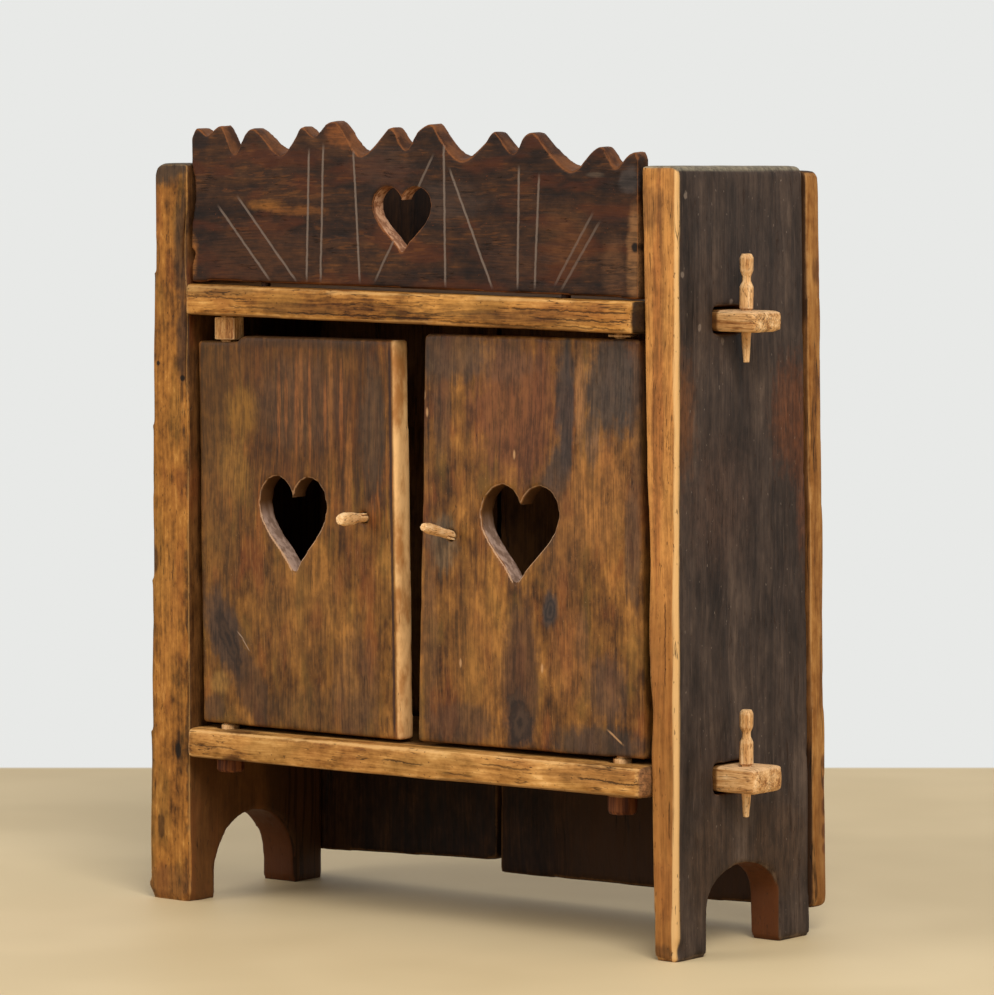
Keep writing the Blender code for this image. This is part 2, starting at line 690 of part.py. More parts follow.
def back_board(name, foot_edges, top_edges, foot_heights, parent, cutters):
    outline = ((foot_edges[0], foot_heights[0]), (foot_edges[1], foot_heights[1]),
               (top_edges[1], BACK_TOP), (top_edges[0], BACK_TOP))
    bm = prism(outline, BACK_FRONT, BACK_OUTER, "y")
    round_edges(bm, BACK_CORNER_ROUND, 3, is_cabinet_corner)
    round_edges(bm, BACK_ROUND, 2, lambda edge: all(v.co.y > BACK_OUTER - 1e-5 for v in edge.verts))
    piece = add_piece(name, bm, BACK_BROWN, parent)
    cut(piece, *cutters)
    return piece


def nail_places():
    """X and Z of every nail: up the side boards, and across the upper and lower boards"""
    step = (SIDE_HEIGHT - SIDE_NAIL_TOP_INSET - SIDE_NAIL_FOOT) / (SIDE_NAILS - 1)
    heights = [SIDE_NAIL_FOOT + number * step for number in range(SIDE_NAILS)]
    places = [(side.middle(z, SIDE_DEPTH), z) for side in (LEFT, RIGHT) for z in heights]
    edges = back_board_edges(0)
    inner_edges = [(max(left, LEFT.inner(0)), min(right, RIGHT.inner(SIDE_HEIGHT))) for left, right in edges]
    for board in (LOWER, UPPER):
        for left, right in inner_edges:
            inset = BOARD_NAIL_SHARE * (right - left)
            for x in (left + inset, right - inset):
                places.append((x, board.bottom(x) + board.thickness / 2))
    return places


def nail(x, z, play):
    """A square forged nail pointing forwards, its head driven flush, or its hole when play is given"""
    half = NAIL_WIDTH / 2 + play
    tip = BACK_OUTER - NAIL_LENGTH - play
    collar = BACK_OUTER - NAIL_SINK - NAIL_HEAD_HEIGHT - play
    shank = box((x - half, tip, z - half), (x + half, collar, z + half))
    end = next(face for face in shank.faces if face.normal.y > 0.9)
    rim = bmesh.ops.extrude_discrete_faces(shank, faces=[end])["faces"][0]
    spread = (NAIL_HEAD_WIDTH / 2 + play) / half
    centre = Matrix.Translation((-x, 0, -z))
    bmesh.ops.scale(shank, vec=(spread, 1, spread), verts=rim.verts, space=centre)
    crown = bmesh.ops.extrude_discrete_faces(shank, faces=[rim])["faces"][0]
    if play:
        bmesh.ops.translate(shank, verts=crown.verts, vec=(0, CUT_PAST, 0))
    else:
        bmesh.ops.scale(shank, vec=(0.5, 1, 0.5), verts=crown.verts, space=centre)
        bmesh.ops.translate(shank, verts=crown.verts, vec=(0, NAIL_HEAD_HEIGHT, 0))
    return shank


def knob_frame(door):
    """From a frame whose z axis runs out of the door along the knob to the cabinet's frame"""
    x = door.free_foot[0] + door.hand * door.knob["inset"]
    tilt = Matrix.Rotation(math.radians(90 - door.knob["tilt"]), 4, "X")
    return Matrix.Translation((x, DOOR_FRONT, door.free_foot[1] + door.knob["rise"])) @ tilt


def knob_hole(place):
    """The knob's hole right through the door"""
    bm = rod(KNOB_SHANK_RADIUS + FIT, -2 * DOOR_THICKNESS, DOOR_THICKNESS, 16)
    bm.transform(place)
    return bm


def knob_wedge_box(knob, play):
    """The sliver between the knob's flat and the wall of its hole, in the knob's frame"""
    top = math.sqrt(KNOB_SHANK_RADIUS ** 2 - (KNOB_WEDGE_WIDTH / 2) ** 2) - FIT
    half = KNOB_WEDGE_WIDTH / 2
    if play:
        return box((-2 * half, top - KNOB_WEDGE_THICKNESS - play, -2 * DOOR_THICKNESS),
                   (2 * half, 4 * half, KNOB_WEDGE_PROUD + play))
    return box((-half, top - KNOB_WEDGE_THICKNESS, -0.9 * DOOR_THICKNESS), (half, top, KNOB_WEDGE_PROUD))


def knob_and_wedge(hand_name, door, parent):
    """A whittled peg knob with its flat, and the wedge that tightens it"""
    knob = door.knob
    place = knob_frame(door)
    radius, length = knob["radius"], knob["length"]
    profile = (
        (0, -DOOR_THICKNESS),
        (KNOB_SHANK_RADIUS, -DOOR_THICKNESS),
        (KNOB_SHANK_RADIUS, 0.25 * length),
        (0.92 * radius, 0.42 * length),
        (radius, 0.80 * length),
        (0.75 * radius, length),
        (0, length),
    )
    if knob["wedge"] < 0:
        place = place @ Matrix.Rotation(math.pi, 4, "Z")
    shift = Matrix.Translation((-door.axis[0], -door.axis[1], 0))
    peg = turned(profile, KNOB_FACETS)
    peg.transform(shift @ place)
    piece = add_piece("knob_" + hand_name, peg, PALE_PEG, parent)
    flat = knob_wedge_box(knob, FIT)
    flat.transform(shift @ place)
    cut(piece, add_cutter("knob_flat_" + hand_name, flat, parent))
    wedge = knob_wedge_box(knob, 0)
    wedge.transform(shift @ place)
    add_piece("knob_wedge_" + hand_name, wedge, PALE_PEG, parent)


def joins(edge, start, end):
    """Whether an edge of a door's front face runs between two corners of its outline"""
    corners = [Vector((x, DOOR_FRONT, z)) for x, z in (start, end)]
    return all(min((vert.co - corner).length for corner in corners) < 1e-5 for vert in edge.verts)


def upper_pivot(hand_name, door, parent):
    """A block on the door's top edge with a tongue down into it and a round pivot above"""
    axis = door.axis
    block_top = UPPER.bottom(axis[0]) - abs(UPPER.slope) * PIVOT_BLOCK_WIDTH - 2 * FIT
    half_width, half_depth = PIVOT_BLOCK_WIDTH / 2, PIVOT_BLOCK_DEPTH / 2
    bottom = door.hung_top[1] + FIT
    block = box((-half_width, -half_depth, bottom), (half_width, half_depth, block_top))
    round_edges(block, DOOR_ROUND / 2, 1)
    piece = add_piece("pivot_upper_" + hand_name, block, PALE_PEG, parent)
    tongue_half_width, tongue_half_depth = PIVOT_TONGUE_WIDTH / 2, PIVOT_TONGUE_DEPTH / 2
    overlap = (block_top - bottom) / 2
    tongue = box((-tongue_half_width, -tongue_half_depth, bottom - PIVOT_TONGUE_LENGTH),
                 (tongue_half_width, tongue_half_depth, bottom + overlap))
    join(piece, tongue, "pivot_tongue_" + hand_name)
    pivot_top = UPPER.bottom(axis[0]) + PIVOT_HOLE_DEPTH - 2 * FIT
    join(piece, rod(PIVOT_RADIUS, block_top - overlap, pivot_top, PIN_FACETS), "pivot_round_" + hand_name)


def tongue_mortise(door):
    """The socket in the door's top edge for the upper pivot's tongue"""
    door_top = door.hung_top[1]
    half_width = PIVOT_TONGUE_WIDTH / 2 + FIT
    half_depth = PIVOT_TONGUE_DEPTH / 2 + FIT
    return box((-half_width, -half_depth, door_top - PIVOT_TONGUE_LENGTH - FIT),
               (half_width, half_depth, door_top + CUT_PAST))


def lower_pin(hand_name, door, parent):
    """A headed pin through the lower board whose shoulder carries the door"""
    axis = door.axis
    under = LOWER.bottom(axis[0]) - abs(LOWER.slope) * PIN_HEAD_RADIUS - FIT
    shoulder = door.foot(PIN_SHANK_RADIUS) - FIT
    head = PIN_HEAD_HEIGHTS[hand_name]
    profile = (
        (0, under - head),
        (0.88 * PIN_HEAD_RADIUS, under - head),
        (PIN_HEAD_RADIUS, under - 0.8 * head),
        (PIN_HEAD_RADIUS, under),
        (PIN_SHANK_RADIUS, under),
        (PIN_SHANK_RADIUS, shoulder),
        (PIN_SPIGOT_RADIUS, shoulder),
        (PIN_SPIGOT_RADIUS, shoulder + PIN_SPIGOT_LENGTH),
        (0, shoulder + PIN_SPIGOT_LENGTH),
    )
    pin = moved(turned(profile, PIN_FACETS), axis[0], axis[1])
    add_piece("pivot_lower_" + hand_name, pin, PALE_PEG, parent)


def pivot_holes():
    """Blind holes under the upper board and through holes in the lower board"""
    shapes = []
    for x in (DOOR_LEFT.axis[0], DOOR_RIGHT.axis[0]):
        blind = rod(PIVOT_RADIUS + PIVOT_PLAY, UPPER.bottom(x) - CUT_PAST,
                    UPPER.bottom(x) + PIVOT_HOLE_DEPTH, PIN_FACETS)
        through = rod(PIN_SHANK_RADIUS + FIT, LOWER.bottom(x) - CUT_PAST, LOWER.top(x) + CUT_PAST, PIN_FACETS)
        shapes.append(moved(blind, x, DOOR_MIDDLE_Y))
        shapes.append(moved(through, x, DOOR_MIDDLE_Y))
    return gathered(shapes)


def plank_door(hand_name, door, cabinet):
    """A plank door on an empty at its pivot axis, with its upper pivot, knob and wedge"""
    hinge = empty("hinge_" + hand_name, (door.axis[0], door.axis[1], 0), cabinet)
    shift = (-door.axis[0], -door.axis[1], 0)
    plank = prism(door.outline(), DOOR_FRONT, DOOR_FRONT + DOOR_THICKNESS, "y")
    free_round, hung_round = door.rounds
    round_edges(plank, free_round, 3, lambda edge: joins(edge, door.free_foot, door.free_top))
    round_edges(plank, hung_round, 3, lambda edge: joins(edge, door.hung_foot, door.hung_top))
    round_edges(plank, DOOR_ROUND, 2)
    piece = add_piece("door_" + hand_name, moved(plank, *shift), DOOR_BROWN, hinge)

    heart = door.heart
    centre = (door.free_foot[0] + door.hung_foot[0]) / 2 + heart["offset"]
    tip = door.free_foot[1] + heart["tip"]
    outline = heart_outline(heart["width"], heart["height"], centre, tip, heart["lean"])
    opening = prism(outline, DOOR_FRONT - CUT_PAST, DOOR_FRONT + DOOR_THICKNESS + CUT_PAST, "y")
    heart_cutter = add_cutter("heart_" + hand_name, moved(opening, *shift), hinge)
    hole_cutter = add_cutter("knob_hole_" + hand_name, moved(knob_hole(knob_frame(door)), *shift), hinge)
    foot = door.foot(PIN_SHANK_RADIUS)
    socket_top = foot + PIN_SPIGOT_LENGTH + 2 * FIT
    socket = rod(PIN_SPIGOT_RADIUS + PIVOT_PLAY, foot - CUT_PAST, socket_top, PIN_FACETS)
    sockets = add_cutter("sockets_" + hand_name, gathered([tongue_mortise(door), socket]), hinge)
    cut(piece, heart_cutter, hole_cutter, sockets)

    upper_pivot(hand_name, door, hinge)
    knob_and_wedge(hand_name, door, hinge)


def centre_footprint(cabinet):
    """Move the cabinet so that the middle of its outer box stands over the origin"""
    bpy.context.view_layer.update()
    corners = [
        piece.matrix_world @ vert.co
        for piece in bpy.data.objects
        if piece.type == "MESH" and not piece.hide_render
        for vert in piece.data.vertices
    ]
    for side in (0, 1):
        low = min(corner[side] for corner in corners)
        high = max(corner[side] for corner in corners)
        cabinet.location[side] -= (low + high) / 2


def build():
    clear_scene()
    cabinet = empty("cabinet", (0, 0, 0))

    mortise_cutter = add_cutter("mortises", mortises(), cabinet)
    peg_cutter = add_cutter("peg_holes", peg_holes(), cabinet)
    pivot_cutter = add_cutter("pivot_holes", pivot_holes(), cabinet)
    nail_holes = gathered([nail(x, z, NAIL_PLAY) for x, z in nail_places()])
    nail_cutter = add_cutter("nail_holes", nail_holes, cabinet)
    dowel_cutter = add_cutter("dowel_holes", gathered([dowel(hand, FIT) for hand in (-1, 1)]), cabinet)
    heart_cutter = add_cutter("heart_crest", crest_heart(), cabinet)

    side_board("side_board_left", LEFT, cabinet, (mortise_cutter, nail_cutter))
    side_board("side_board_right", RIGHT, cabinet, (mortise_cutter, nail_cutter))
    cross_board("lower_board", LOWER, cabinet, (peg_cutter, pivot_cutter, nail_cutter))
    cross_board("upper_board", UPPER, cabinet, (peg_cutter, pivot_cutter, nail_cutter, dowel_cutter))
    crest_board(cabinet, (heart_cutter, dowel_cutter))
    for name, hand in (("left", -1), ("right", 1)):
        add_piece("crest_dowel_" + name, dowel(hand, 0), PALE_PEG, cabinet)

    names = ("back_board_left", "back_board_middle", "back_board_right")
    edges = zip(back_board_edges(0), back_board_edges(BACK_TOP))
    for name, (foot, top), heights in zip(names, edges, BACK_FOOT_HEIGHTS):
        back_board(name, foot, top, heights, cabinet, (nail_cutter,))
    for number, (x, z) in enumerate(nail_places(), 1):
        add_piece("back_nail_%02d" % number, nail(x, z, 0), FORGED_IRON, cabinet)

    for level, board in (("lower", LOWER), ("upper", UPPER)):
        for name, side in (("left", LEFT), ("right", RIGHT)):
            tusk_peg("tusk_peg_%s_%s" % (level, name), board, side, cabinet)

    for name, door in (("left", DOOR_LEFT), ("right", DOOR_RIGHT)):
        plank_door(name, door, cabinet)
        lower_pin(name, door, cabinet)

    centre_footprint(cabinet)


build()
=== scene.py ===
"""The looks of a rustic plank cupboard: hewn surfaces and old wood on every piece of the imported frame."""
import math
from dataclasses import dataclass
from functools import reduce

import bmesh
import bpy
import numpy as np
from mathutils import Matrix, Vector, noise


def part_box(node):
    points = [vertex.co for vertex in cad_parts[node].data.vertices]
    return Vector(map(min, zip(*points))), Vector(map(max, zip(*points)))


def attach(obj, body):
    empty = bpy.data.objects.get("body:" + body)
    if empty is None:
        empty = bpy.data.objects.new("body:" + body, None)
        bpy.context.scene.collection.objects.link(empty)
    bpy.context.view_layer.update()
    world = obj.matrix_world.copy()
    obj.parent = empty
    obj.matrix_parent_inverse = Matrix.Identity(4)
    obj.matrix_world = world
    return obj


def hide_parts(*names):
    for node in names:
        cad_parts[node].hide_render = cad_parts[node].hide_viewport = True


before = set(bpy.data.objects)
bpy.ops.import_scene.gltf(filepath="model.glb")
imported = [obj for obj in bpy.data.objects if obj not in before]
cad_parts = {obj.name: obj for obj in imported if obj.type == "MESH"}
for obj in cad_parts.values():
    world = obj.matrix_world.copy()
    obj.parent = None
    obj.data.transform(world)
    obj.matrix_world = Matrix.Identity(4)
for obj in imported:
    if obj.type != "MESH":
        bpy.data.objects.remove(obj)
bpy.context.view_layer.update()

scene = bpy.context.scene

# Camera: the photograph's viewing angle, in metres and degrees; lens and sensor in millimetres
CAMERA_PLACE = (3.039852, -3.9216, 0.7971)
CAMERA_PITCH = -4.0115
CAMERA_TURN = 37.4
CAMERA_LENS = 169.14
CAMERA_SENSOR = 36.0

# Floor: half its width, where it turns into the wall and how softly, in metres; its lumps per metre
FLOOR_HALF = 8.0
FLOOR_REACH = 1.24
FLOOR_FADE = 0.012
FLOOR_LUMPS = 3.0
FLOOR_ROUGHNESS = 0.6
FLOOR_GLOSS = 0.3
FLOOR_TONES = ((212, 188, 144), (228, 204, 160))

# Light: a lamp's place and width in metres and its power in watts; the place that both lamps look at
WALL_SHADE = (232, 233, 231)
SKY_LIGHT = 0.52
KEY_LAMP = ((3.0, -2.4, 3.6), 2.2, 165)
FILL_LAMP = ((-2.2, -3.8, 2.2), 2.4, 66)
LOOKED_AT = (0.0, 0.0, 0.42)

# Name of the attribute that says how near a point lies to a sharp outer edge
ARRIS = "arris"

# Radius of an oval through the piece, so long that it is the same at any depth
ACROSS_ALL = 10.0

# Patterns in wood: their width across the grain and length along it, in metres
SWAY_SIZE = (0.1, 0.16)
BROAD_SIZE = (0.034, 0.3)
STREAK_SIZE = (0.0065, 0.15)
FIBRE_SIZE = (0.0016, 0.04)
CLOUD_SIZE = (0.024, 0.05)
MOTTLE_SIZE = (0.0085, 0.015)
HUE_SIZE = (0.03, 0.08)

# How far fibres sway and how far away the hue's noise is read, in metres; lumps per metre of rag and iron
SWAY = 0.016
HUE_AWAY = 3.1
RAG_SCALE = 95.0
IRON_LUMPS = 420.0

# Darkest and lightest share of a stain's tone; how slowly rings change along the grain, how they wander
GRAIN_DARK = 0.8
GRAIN_LIGHT = 1.18
RING_STRETCH = 0.035
RING_WANDER = 3.5

# Noise above which cracks show where few and where many are wanted; spread of the roughness
CRACKS_FEW = 0.68
CRACKS_MANY = 0.38
ROUGH_SPREAD = 0.3


def shade(red, green, blue):
    """A colour written in screen values from 0 to 255, as the shader wants it."""
    def linear(value):
        share = value / 255.0
        return share / 12.92 if share <= 0.04045 else ((share + 0.055) / 1.055) ** 2.4
    return (linear(red), linear(green), linear(blue), 1.0)


# Shader maths

def math_node(operation):
    """A method of Value that adds one Math node, with a second value where the sum needs one."""
    def method(self, other=0.0):
        return self.tree.node("ShaderNodeMath", {"operation": operation}, {0: self, 1: other})
    return method


class Value:
    """A socket of a node, used in Python sums."""

    def __init__(self, tree, socket):
        self.tree = tree
        self.socket = socket

    __add__ = math_node("ADD")
    __sub__ = math_node("SUBTRACT")
    __mul__ = math_node("MULTIPLY")
    __truediv__ = math_node("DIVIDE")
    __abs__ = math_node("ABSOLUTE")
    most = math_node("MAXIMUM")
    wave = math_node("SINE")


class Tree:
    """A node tree of a material or of the world."""

    def __init__(self, tree):
        self.tree = tree

    def node(self, kind, settings=None, values=None, out=0):
        """Any node: its settings are set first, then the values or links of its sockets."""
        made = self.tree.nodes.new(kind)
        for key, value in (settings or {}).items():
            if key == "stops":
                self._set_stops(made.color_ramp, value)
            else:
                setattr(made, key, value)
        for key, value in (values or {}).items():
            self.feed(made.inputs[key], value)
        return Value(self, made.outputs[out]) if made.outputs else made

    def feed(self, socket, value):
        if isinstance(value, Value):
            self.tree.links.new(value.socket, socket)
        else:
            socket.default_value = value

    def _set_stops(self, ramp, stops):
        while len(ramp.elements) < len(stops):
            ramp.elements.new(0.5)
        for element, (position, colour) in zip(ramp.elements, stops):
            element.position = position
            element.color = colour

    def seen_directly(self):
        """1 for rays that show the background itself: straight, in a gloss or through glass."""
        kinds = ("Is Camera Ray", "Is Glossy Ray", "Is Transmission Ray")
        return reduce(Value.most, [self.node("ShaderNodeLightPath", out=kind) for kind in kinds])


class Finish(Tree):
    """A material that is being made, with the few kinds of node that old wood needs."""

    def __init__(self, name):
        self.material = bpy.data.materials.new(name)
        self.material.use_nodes = True
        super().__init__(self.material.node_tree)
        self.shader = self.tree.nodes["Principled BSDF"]
        self.place = self.node("ShaderNodeTexCoord", out="Object")

    def ramp(self, value, low, high):
        """0 at low and 1 at high with a soft rise between; where low is the larger, it falls."""
        return self.node("ShaderNodeMapRange", {"interpolation_type": "SMOOTHSTEP"},
                         {"Value": value, "From Min": low, "From Max": high})

    def mix(self, share, under, over):
        """One colour laid over another by its share; a plain triple is a tone in screen values."""
        under, over = (shade(*each) if isinstance(each, tuple) else each for each in (under, over))
        settings = {"data_type": "RGBA", "clamp_factor": True}
        return self.node("ShaderNodeMix", settings, {0: share, 6: under, 7: over}, out=2)

    def noise(self, vector, detail=2.0, rough=0.5, out=0):
        return self.node("ShaderNodeTexNoise", None,
                         {"Vector": vector, "Scale": 1.0, "Detail": detail, "Roughness": rough}, out=out)

    def vector(self, operation, first, second=(0.0, 0.0, 0.0), out=0):
        return self.node("ShaderNodeVectorMath", {"operation": operation}, {0: first, 1: second}, out=out)

    def part(self, vector, axis):
        """One coordinate of a vector."""
        return self.node("ShaderNodeSeparateXYZ", None, {0: vector}, out="XYZ".index(axis))

    def past(self, axis, low, high):
        """0 at one place along an axis and 1 at the next."""
        return self.ramp(self.part(self.place, axis), low, high)

    def done(self, colour, rough, height=None, depth=0.001, strength=0.5, gloss=0.12):
        """The finished material; without a height its surface is even."""
        self.feed(self.shader.inputs["Base Color"], colour)
        self.feed(self.shader.inputs["Roughness"], rough)
        self.feed(self.shader.inputs["Specular IOR Level"], gloss)
        if height is not None:
            bump = {"Strength": strength, "Distance": depth, "Height": height}
            self.feed(self.shader.inputs["Normal"], self.node("ShaderNodeBump", None, bump))
        return self.material


@dataclass
class Stain:
    """An oval patch on a flat face: its middle and half sizes in the face, its tone and strength."""
    across: float
    up: float
    wide: float
    high: float
    tone: tuple
    strength: float
    turn: float = 0.0
    ragged: float = 0.9
    soft: float = 0.35


class Wood(Finish):
    """Old wood: fibres along one axis, rings round a pith, cracks, flecks and worn arrises."""

    def __init__(self, name, grain, pith, ring, shift, knots=()):
        super().__init__(name)
        self.grain = grain
        self.facing = self.node("ShaderNodeTexCoord", out="Normal")
        self.arris = self.node("ShaderNodeAttribute", {"attribute_name": ARRIS}, out="Fac")
        moved = self.vector("ADD", self.place, shift)
        sway = self.pattern(moved, SWAY_SIZE, detail=1.0, out="Color")
        centred = self.vector("SUBTRACT", sway, (0.5, 0.5, 0.5))
        swayed = self.vector("MULTIPLY", centred, (SWAY, SWAY, SWAY))
        self.fibre_place = self.vector("ADD", moved, swayed)
        self.rag = self.noise(self.vector("MULTIPLY", moved, (RAG_SCALE,) * 3), detail=3.0, rough=0.6)
        self.broad = self.pattern(self.fibre_place, BROAD_SIZE)
        self.streak = self.pattern(self.fibre_place, STREAK_SIZE, detail=3.0, rough=0.6)
        self.fibre = self.pattern(self.fibre_place, FIBRE_SIZE, rough=0.6)
        self.cloud = self.pattern(moved, CLOUD_SIZE, detail=4.0, rough=0.6)
        self.mottle = self.pattern(moved, MOTTLE_SIZE, detail=4.0, rough=0.65)
        away = self.vector("ADD", moved, (HUE_AWAY,) * 3)
        self.hue = self.pattern(away, HUE_SIZE, detail=3.0)
        self.relief = self.ramp(self.fibre * 0.35 + self.streak * 0.3 + self.mottle * 0.35, 0.41, 0.59)
        self.rings = self._rings(pith, ring, knots)

    def pattern(self, place, size, detail=2.0, rough=0.5, out=0):
        """Noise with lumps as wide across the grain and as long along it as the size says."""
        across, along = size
        scale = [1.0 / across] * 3
        scale["XYZ".index(self.grain)] = 1.0 / along
        return self.noise(self.vector("MULTIPLY", place, scale), detail, rough, out)

    def oval(self, middle, radii, turn=0.0, face="XZ"):
        """Distance from an oval's middle in its own radii; it runs through the piece like a rod."""
        def on_axes(pair, other):
            return tuple(pair[face.index(axis)] if axis in face else other for axis in "XYZ")
        rotation = on_axes((0.0, 0.0), math.radians(turn))
        local = self.node("ShaderNodeMapping", {"vector_type": "TEXTURE"},
                          {"Vector": self.place, "Location": on_axes(middle, 0.0), "Rotation": rotation,
                           "Scale": on_axes(radii, ACROSS_ALL)})
        return self.vector("LENGTH", local, out="Value")

    def stained(self, colour, stains, face="XZ"):
        """Lay ragged, soft ovals over a colour, feathered along the grain."""
        feather = self.streak * 0.55 + self.rag * 0.45 - 0.5
        for stain in stains:
            middle, radii = (stain.across, stain.up), (stain.wide, stain.high)
            far = self.oval(middle, radii, stain.turn, face) + feather * (2.0 * stain.ragged)
            share = self.ramp(far, 1.0 + stain.soft, 1.0 - stain.soft) * stain.strength
            colour = self.mix(share, colour, self.grained(stain.tone))
        return colour

    def lay(self, share, tone):
        """Lay a tone over the wood's colour so far."""
        self.colour = self.mix(share, self.colour, tone)

    def grained(self, tone):
        """A tone that the fibres make darker and lighter."""
        dark = tuple(value * GRAIN_DARK for value in tone)
        light = tuple(min(value * GRAIN_LIGHT, 255.0) for value in tone)
        return self.mix(self.relief, dark, light)

    def scratch(self, start, end, width, wobble=0.6):
        """1 on a cut between two places on a front face."""
        run = Vector(end) - Vector(start)
        way = run.normalized()
        side = Vector((-way.y, way.x))

        def measured(direction):
            spread = (direction.x, 0.0, direction.y)
            return self.vector("DOT_PRODUCT", self.place, spread, out="Value") - direction.dot(Vector(start))

        across = measured(side) + (self.rag - 0.5) * (wobble * width)
        line = self.ramp(abs(across), width * 0.62, width * 0.25)
        ends = self.ramp(abs(measured(way) - run.length / 2), run.length / 2, run.length / 2 - 4 * width)
        return line * ends

    def _rings(self, pith, spacing, knots):
        """Bands round the pith, a line along the grain; a knot's oval bends them by a number of rings."""
        flat = [1.0, 1.0, 1.0]
        flat["XYZ".index(self.grain)] = RING_STRETCH
        centred = self.vector("SUBTRACT", self.fibre_place, pith)
        radius = self.vector("LENGTH", self.vector("MULTIPLY", centred, flat), out="Value")
        phase = radius / spacing + (self.broad - 0.5) * RING_WANDER
        for middle, radii, rise in knots:
            phase = phase + self.ramp(self.oval(middle, radii), 1.6, 0.0) * rise
        return (phase * (2 * math.pi)).wave() * 0.5 + 0.5

    def cracks(self, across, along, width, amount, seed=0.0):
        """Thin dark lines along the grain, in places. Amount from 0 to 1 says how many."""
        moved = self.vector("ADD", self.fibre_place, (seed, seed, seed))
        lines = abs(self.pattern(moved, (across, along), rough=0.6) - 0.5)
        there = self.pattern(moved, (across * 2.5, along * 0.35), detail=1.0)
        limit = CRACKS_FEW + (CRACKS_MANY - CRACKS_FEW) * amount
        return self.ramp(lines, width, width * 0.25) * self.ramp(there, limit, limit + 0.08)

    def flecks(self, across, along, limit, seed=0.0):
        """Short dashes along the grain, few where the limit is high."""
        moved = self.vector("ADD", self.fibre_place, (seed, seed, seed))
        return self.ramp(self.pattern(moved, (across, along), detail=1.0), limit, limit + 0.06)

    def tone(self, stops, broad=1.3, streak=1.0, fibre=0.9, rings=0.12, cloud=1.6, mottle=0.9, lift=0.0):
        """The wood's own colour between dark and light stops; the numbers say what varies it most."""
        level = ((self.broad - 0.5) * broad + (self.streak - 0.5) * streak + (self.fibre - 0.5) * fibre
                 + (self.cloud - 0.5) * cloud + (self.mottle - 0.5) * mottle
                 - (self.rings - 0.5) * rings + (0.5 + lift))
        spots = [(k / (len(stops) - 1), shade(*stop)) for k, stop in enumerate(stops)]
        return self.node("ShaderNodeValToRGB", {"stops": spots}, {0: level})

    def tinted(self, colour, reddish, olive):
        """Drift of the hue over the board, towards a red brown and an olive brown."""
        colour = self.mix(self.ramp(self.hue, 0.52, 0.66) * reddish, colour, REDDISH)
        return self.mix(self.ramp(self.hue, 0.48, 0.34) * olive, colour, OLIVE)

    def worn(self, low=0.3, high=0.8):
        """Arrises that hands and tools have rubbed."""
        return self.ramp(self.arris + (self.rag * 0.5 + self.streak * 0.5 - 0.5) * 1.8, low, high)

    def height(self, cracks, flecks=0.0):
        """The surface's height for the bump."""
        grain = self.fibre * 0.35 + self.streak * 0.35 + self.mottle * 0.35 + self.rings * 0.06
        return grain - cracks * 1.6 - flecks * 0.8 + self.rag * 0.2

    def roughness(self, middle):
        return self.streak * ROUGH_SPREAD + (middle - ROUGH_SPREAD / 2)

    def faces(self, axis, way, low=0.45, high=0.8):
        """1 on faces that look along an axis, way being 1 or -1."""
        return self.ramp(self.part(self.facing, axis) * way, low, high)

    def within(self, middle, radii):
        """1 inside an oval on the front face."""
        return self.ramp(self.oval(middle, radii), 1.05, 0.95)

    def cut_wall(self, inside):
        """1 on the wall of a cut-out, from what lies inside its outline."""
        return self.ramp(abs(self.part(self.facing, "Y")), 0.6, 0.3) * inside

    def band(self, axis, start, end, soft):
        """1 between two places along an axis."""
        there = self.part(self.place, axis)
        return self.ramp(there, start - soft, start + soft) * self.ramp(there, end + soft, end - soft)


# Meshes

def placed(name, data):
    """A new object in the scene."""
    thing = bpy.data.objects.new(name, data)
    scene.collection.objects.link(thing)
    return thing


def merged(node):
    """A closed copy of a frame node's mesh, its loose triangles merged."""
    shape = bmesh.new()
    shape.from_mesh(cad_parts[node].data)
    bmesh.ops.remove_doubles(shape, verts=shape.verts, dist=1e-5)
    mesh = bpy.data.meshes.new(node)
    shape.to_mesh(mesh)
    shape.free()
    return mesh


def evened(mesh, cell):
    """The same body with an even net of small faces, a cell wide."""
    thing = placed("evened", mesh)
    net = thing.modifiers.new("net", "REMESH")
    net.mode = "VOXEL"
    net.voxel_size = cell
    net.adaptivity = 0.0
    made = bpy.data.meshes.new_from_object(thing.evaluated_get(bpy.context.evaluated_depsgraph_get()))
    bpy.data.objects.remove(thing)
    return made


def read_points(collection, key, count):
    flat = np.empty(count * 3, np.float32)
    collection.foreach_get(key, flat)
    return flat.reshape(-1, 3).astype(float)


class Net:
    """A mesh's points and edges as arrays, so that whole bodies can be smoothed at once."""

    def __init__(self, mesh):
        pairs = np.empty(len(mesh.edges) * 2, np.int32)
        mesh.edges.foreach_get("vertices", pairs)
        self.pairs = pairs.reshape(-1, 2)
        self.count = len(mesh.vertices)
        self.neighbours = np.bincount(self.pairs.ravel(), minlength=self.count)[:, None]

    def smoothed(self, points, rounds):
        a, b = self.pairs.T
        for _ in range(rounds):
            sums = [np.bincount(a, points[b, k], self.count) + np.bincount(b, points[a, k], self.count)
                    for k in range(3)]
            points = 0.5 * points + 0.5 * np.stack(sums, axis=1) / self.neighbours
        return points


def field(points, size, seed):
    """Soft noise from -1 to 1 at each point; size gives the width of its lumps along x, y and z."""
    scaled = points / np.array(size) + seed
    return np.array([noise.noise(Vector(p)) for p in scaled])


def bowl(points, middle, radii):
    """1 at the middle of an oval hollow and 0 from its rim on."""
    far = np.linalg.norm((points - np.array(middle)) / np.array(radii), axis=1)
    return np.clip(1.0 - far * far, 0.0, 1.0) ** 2


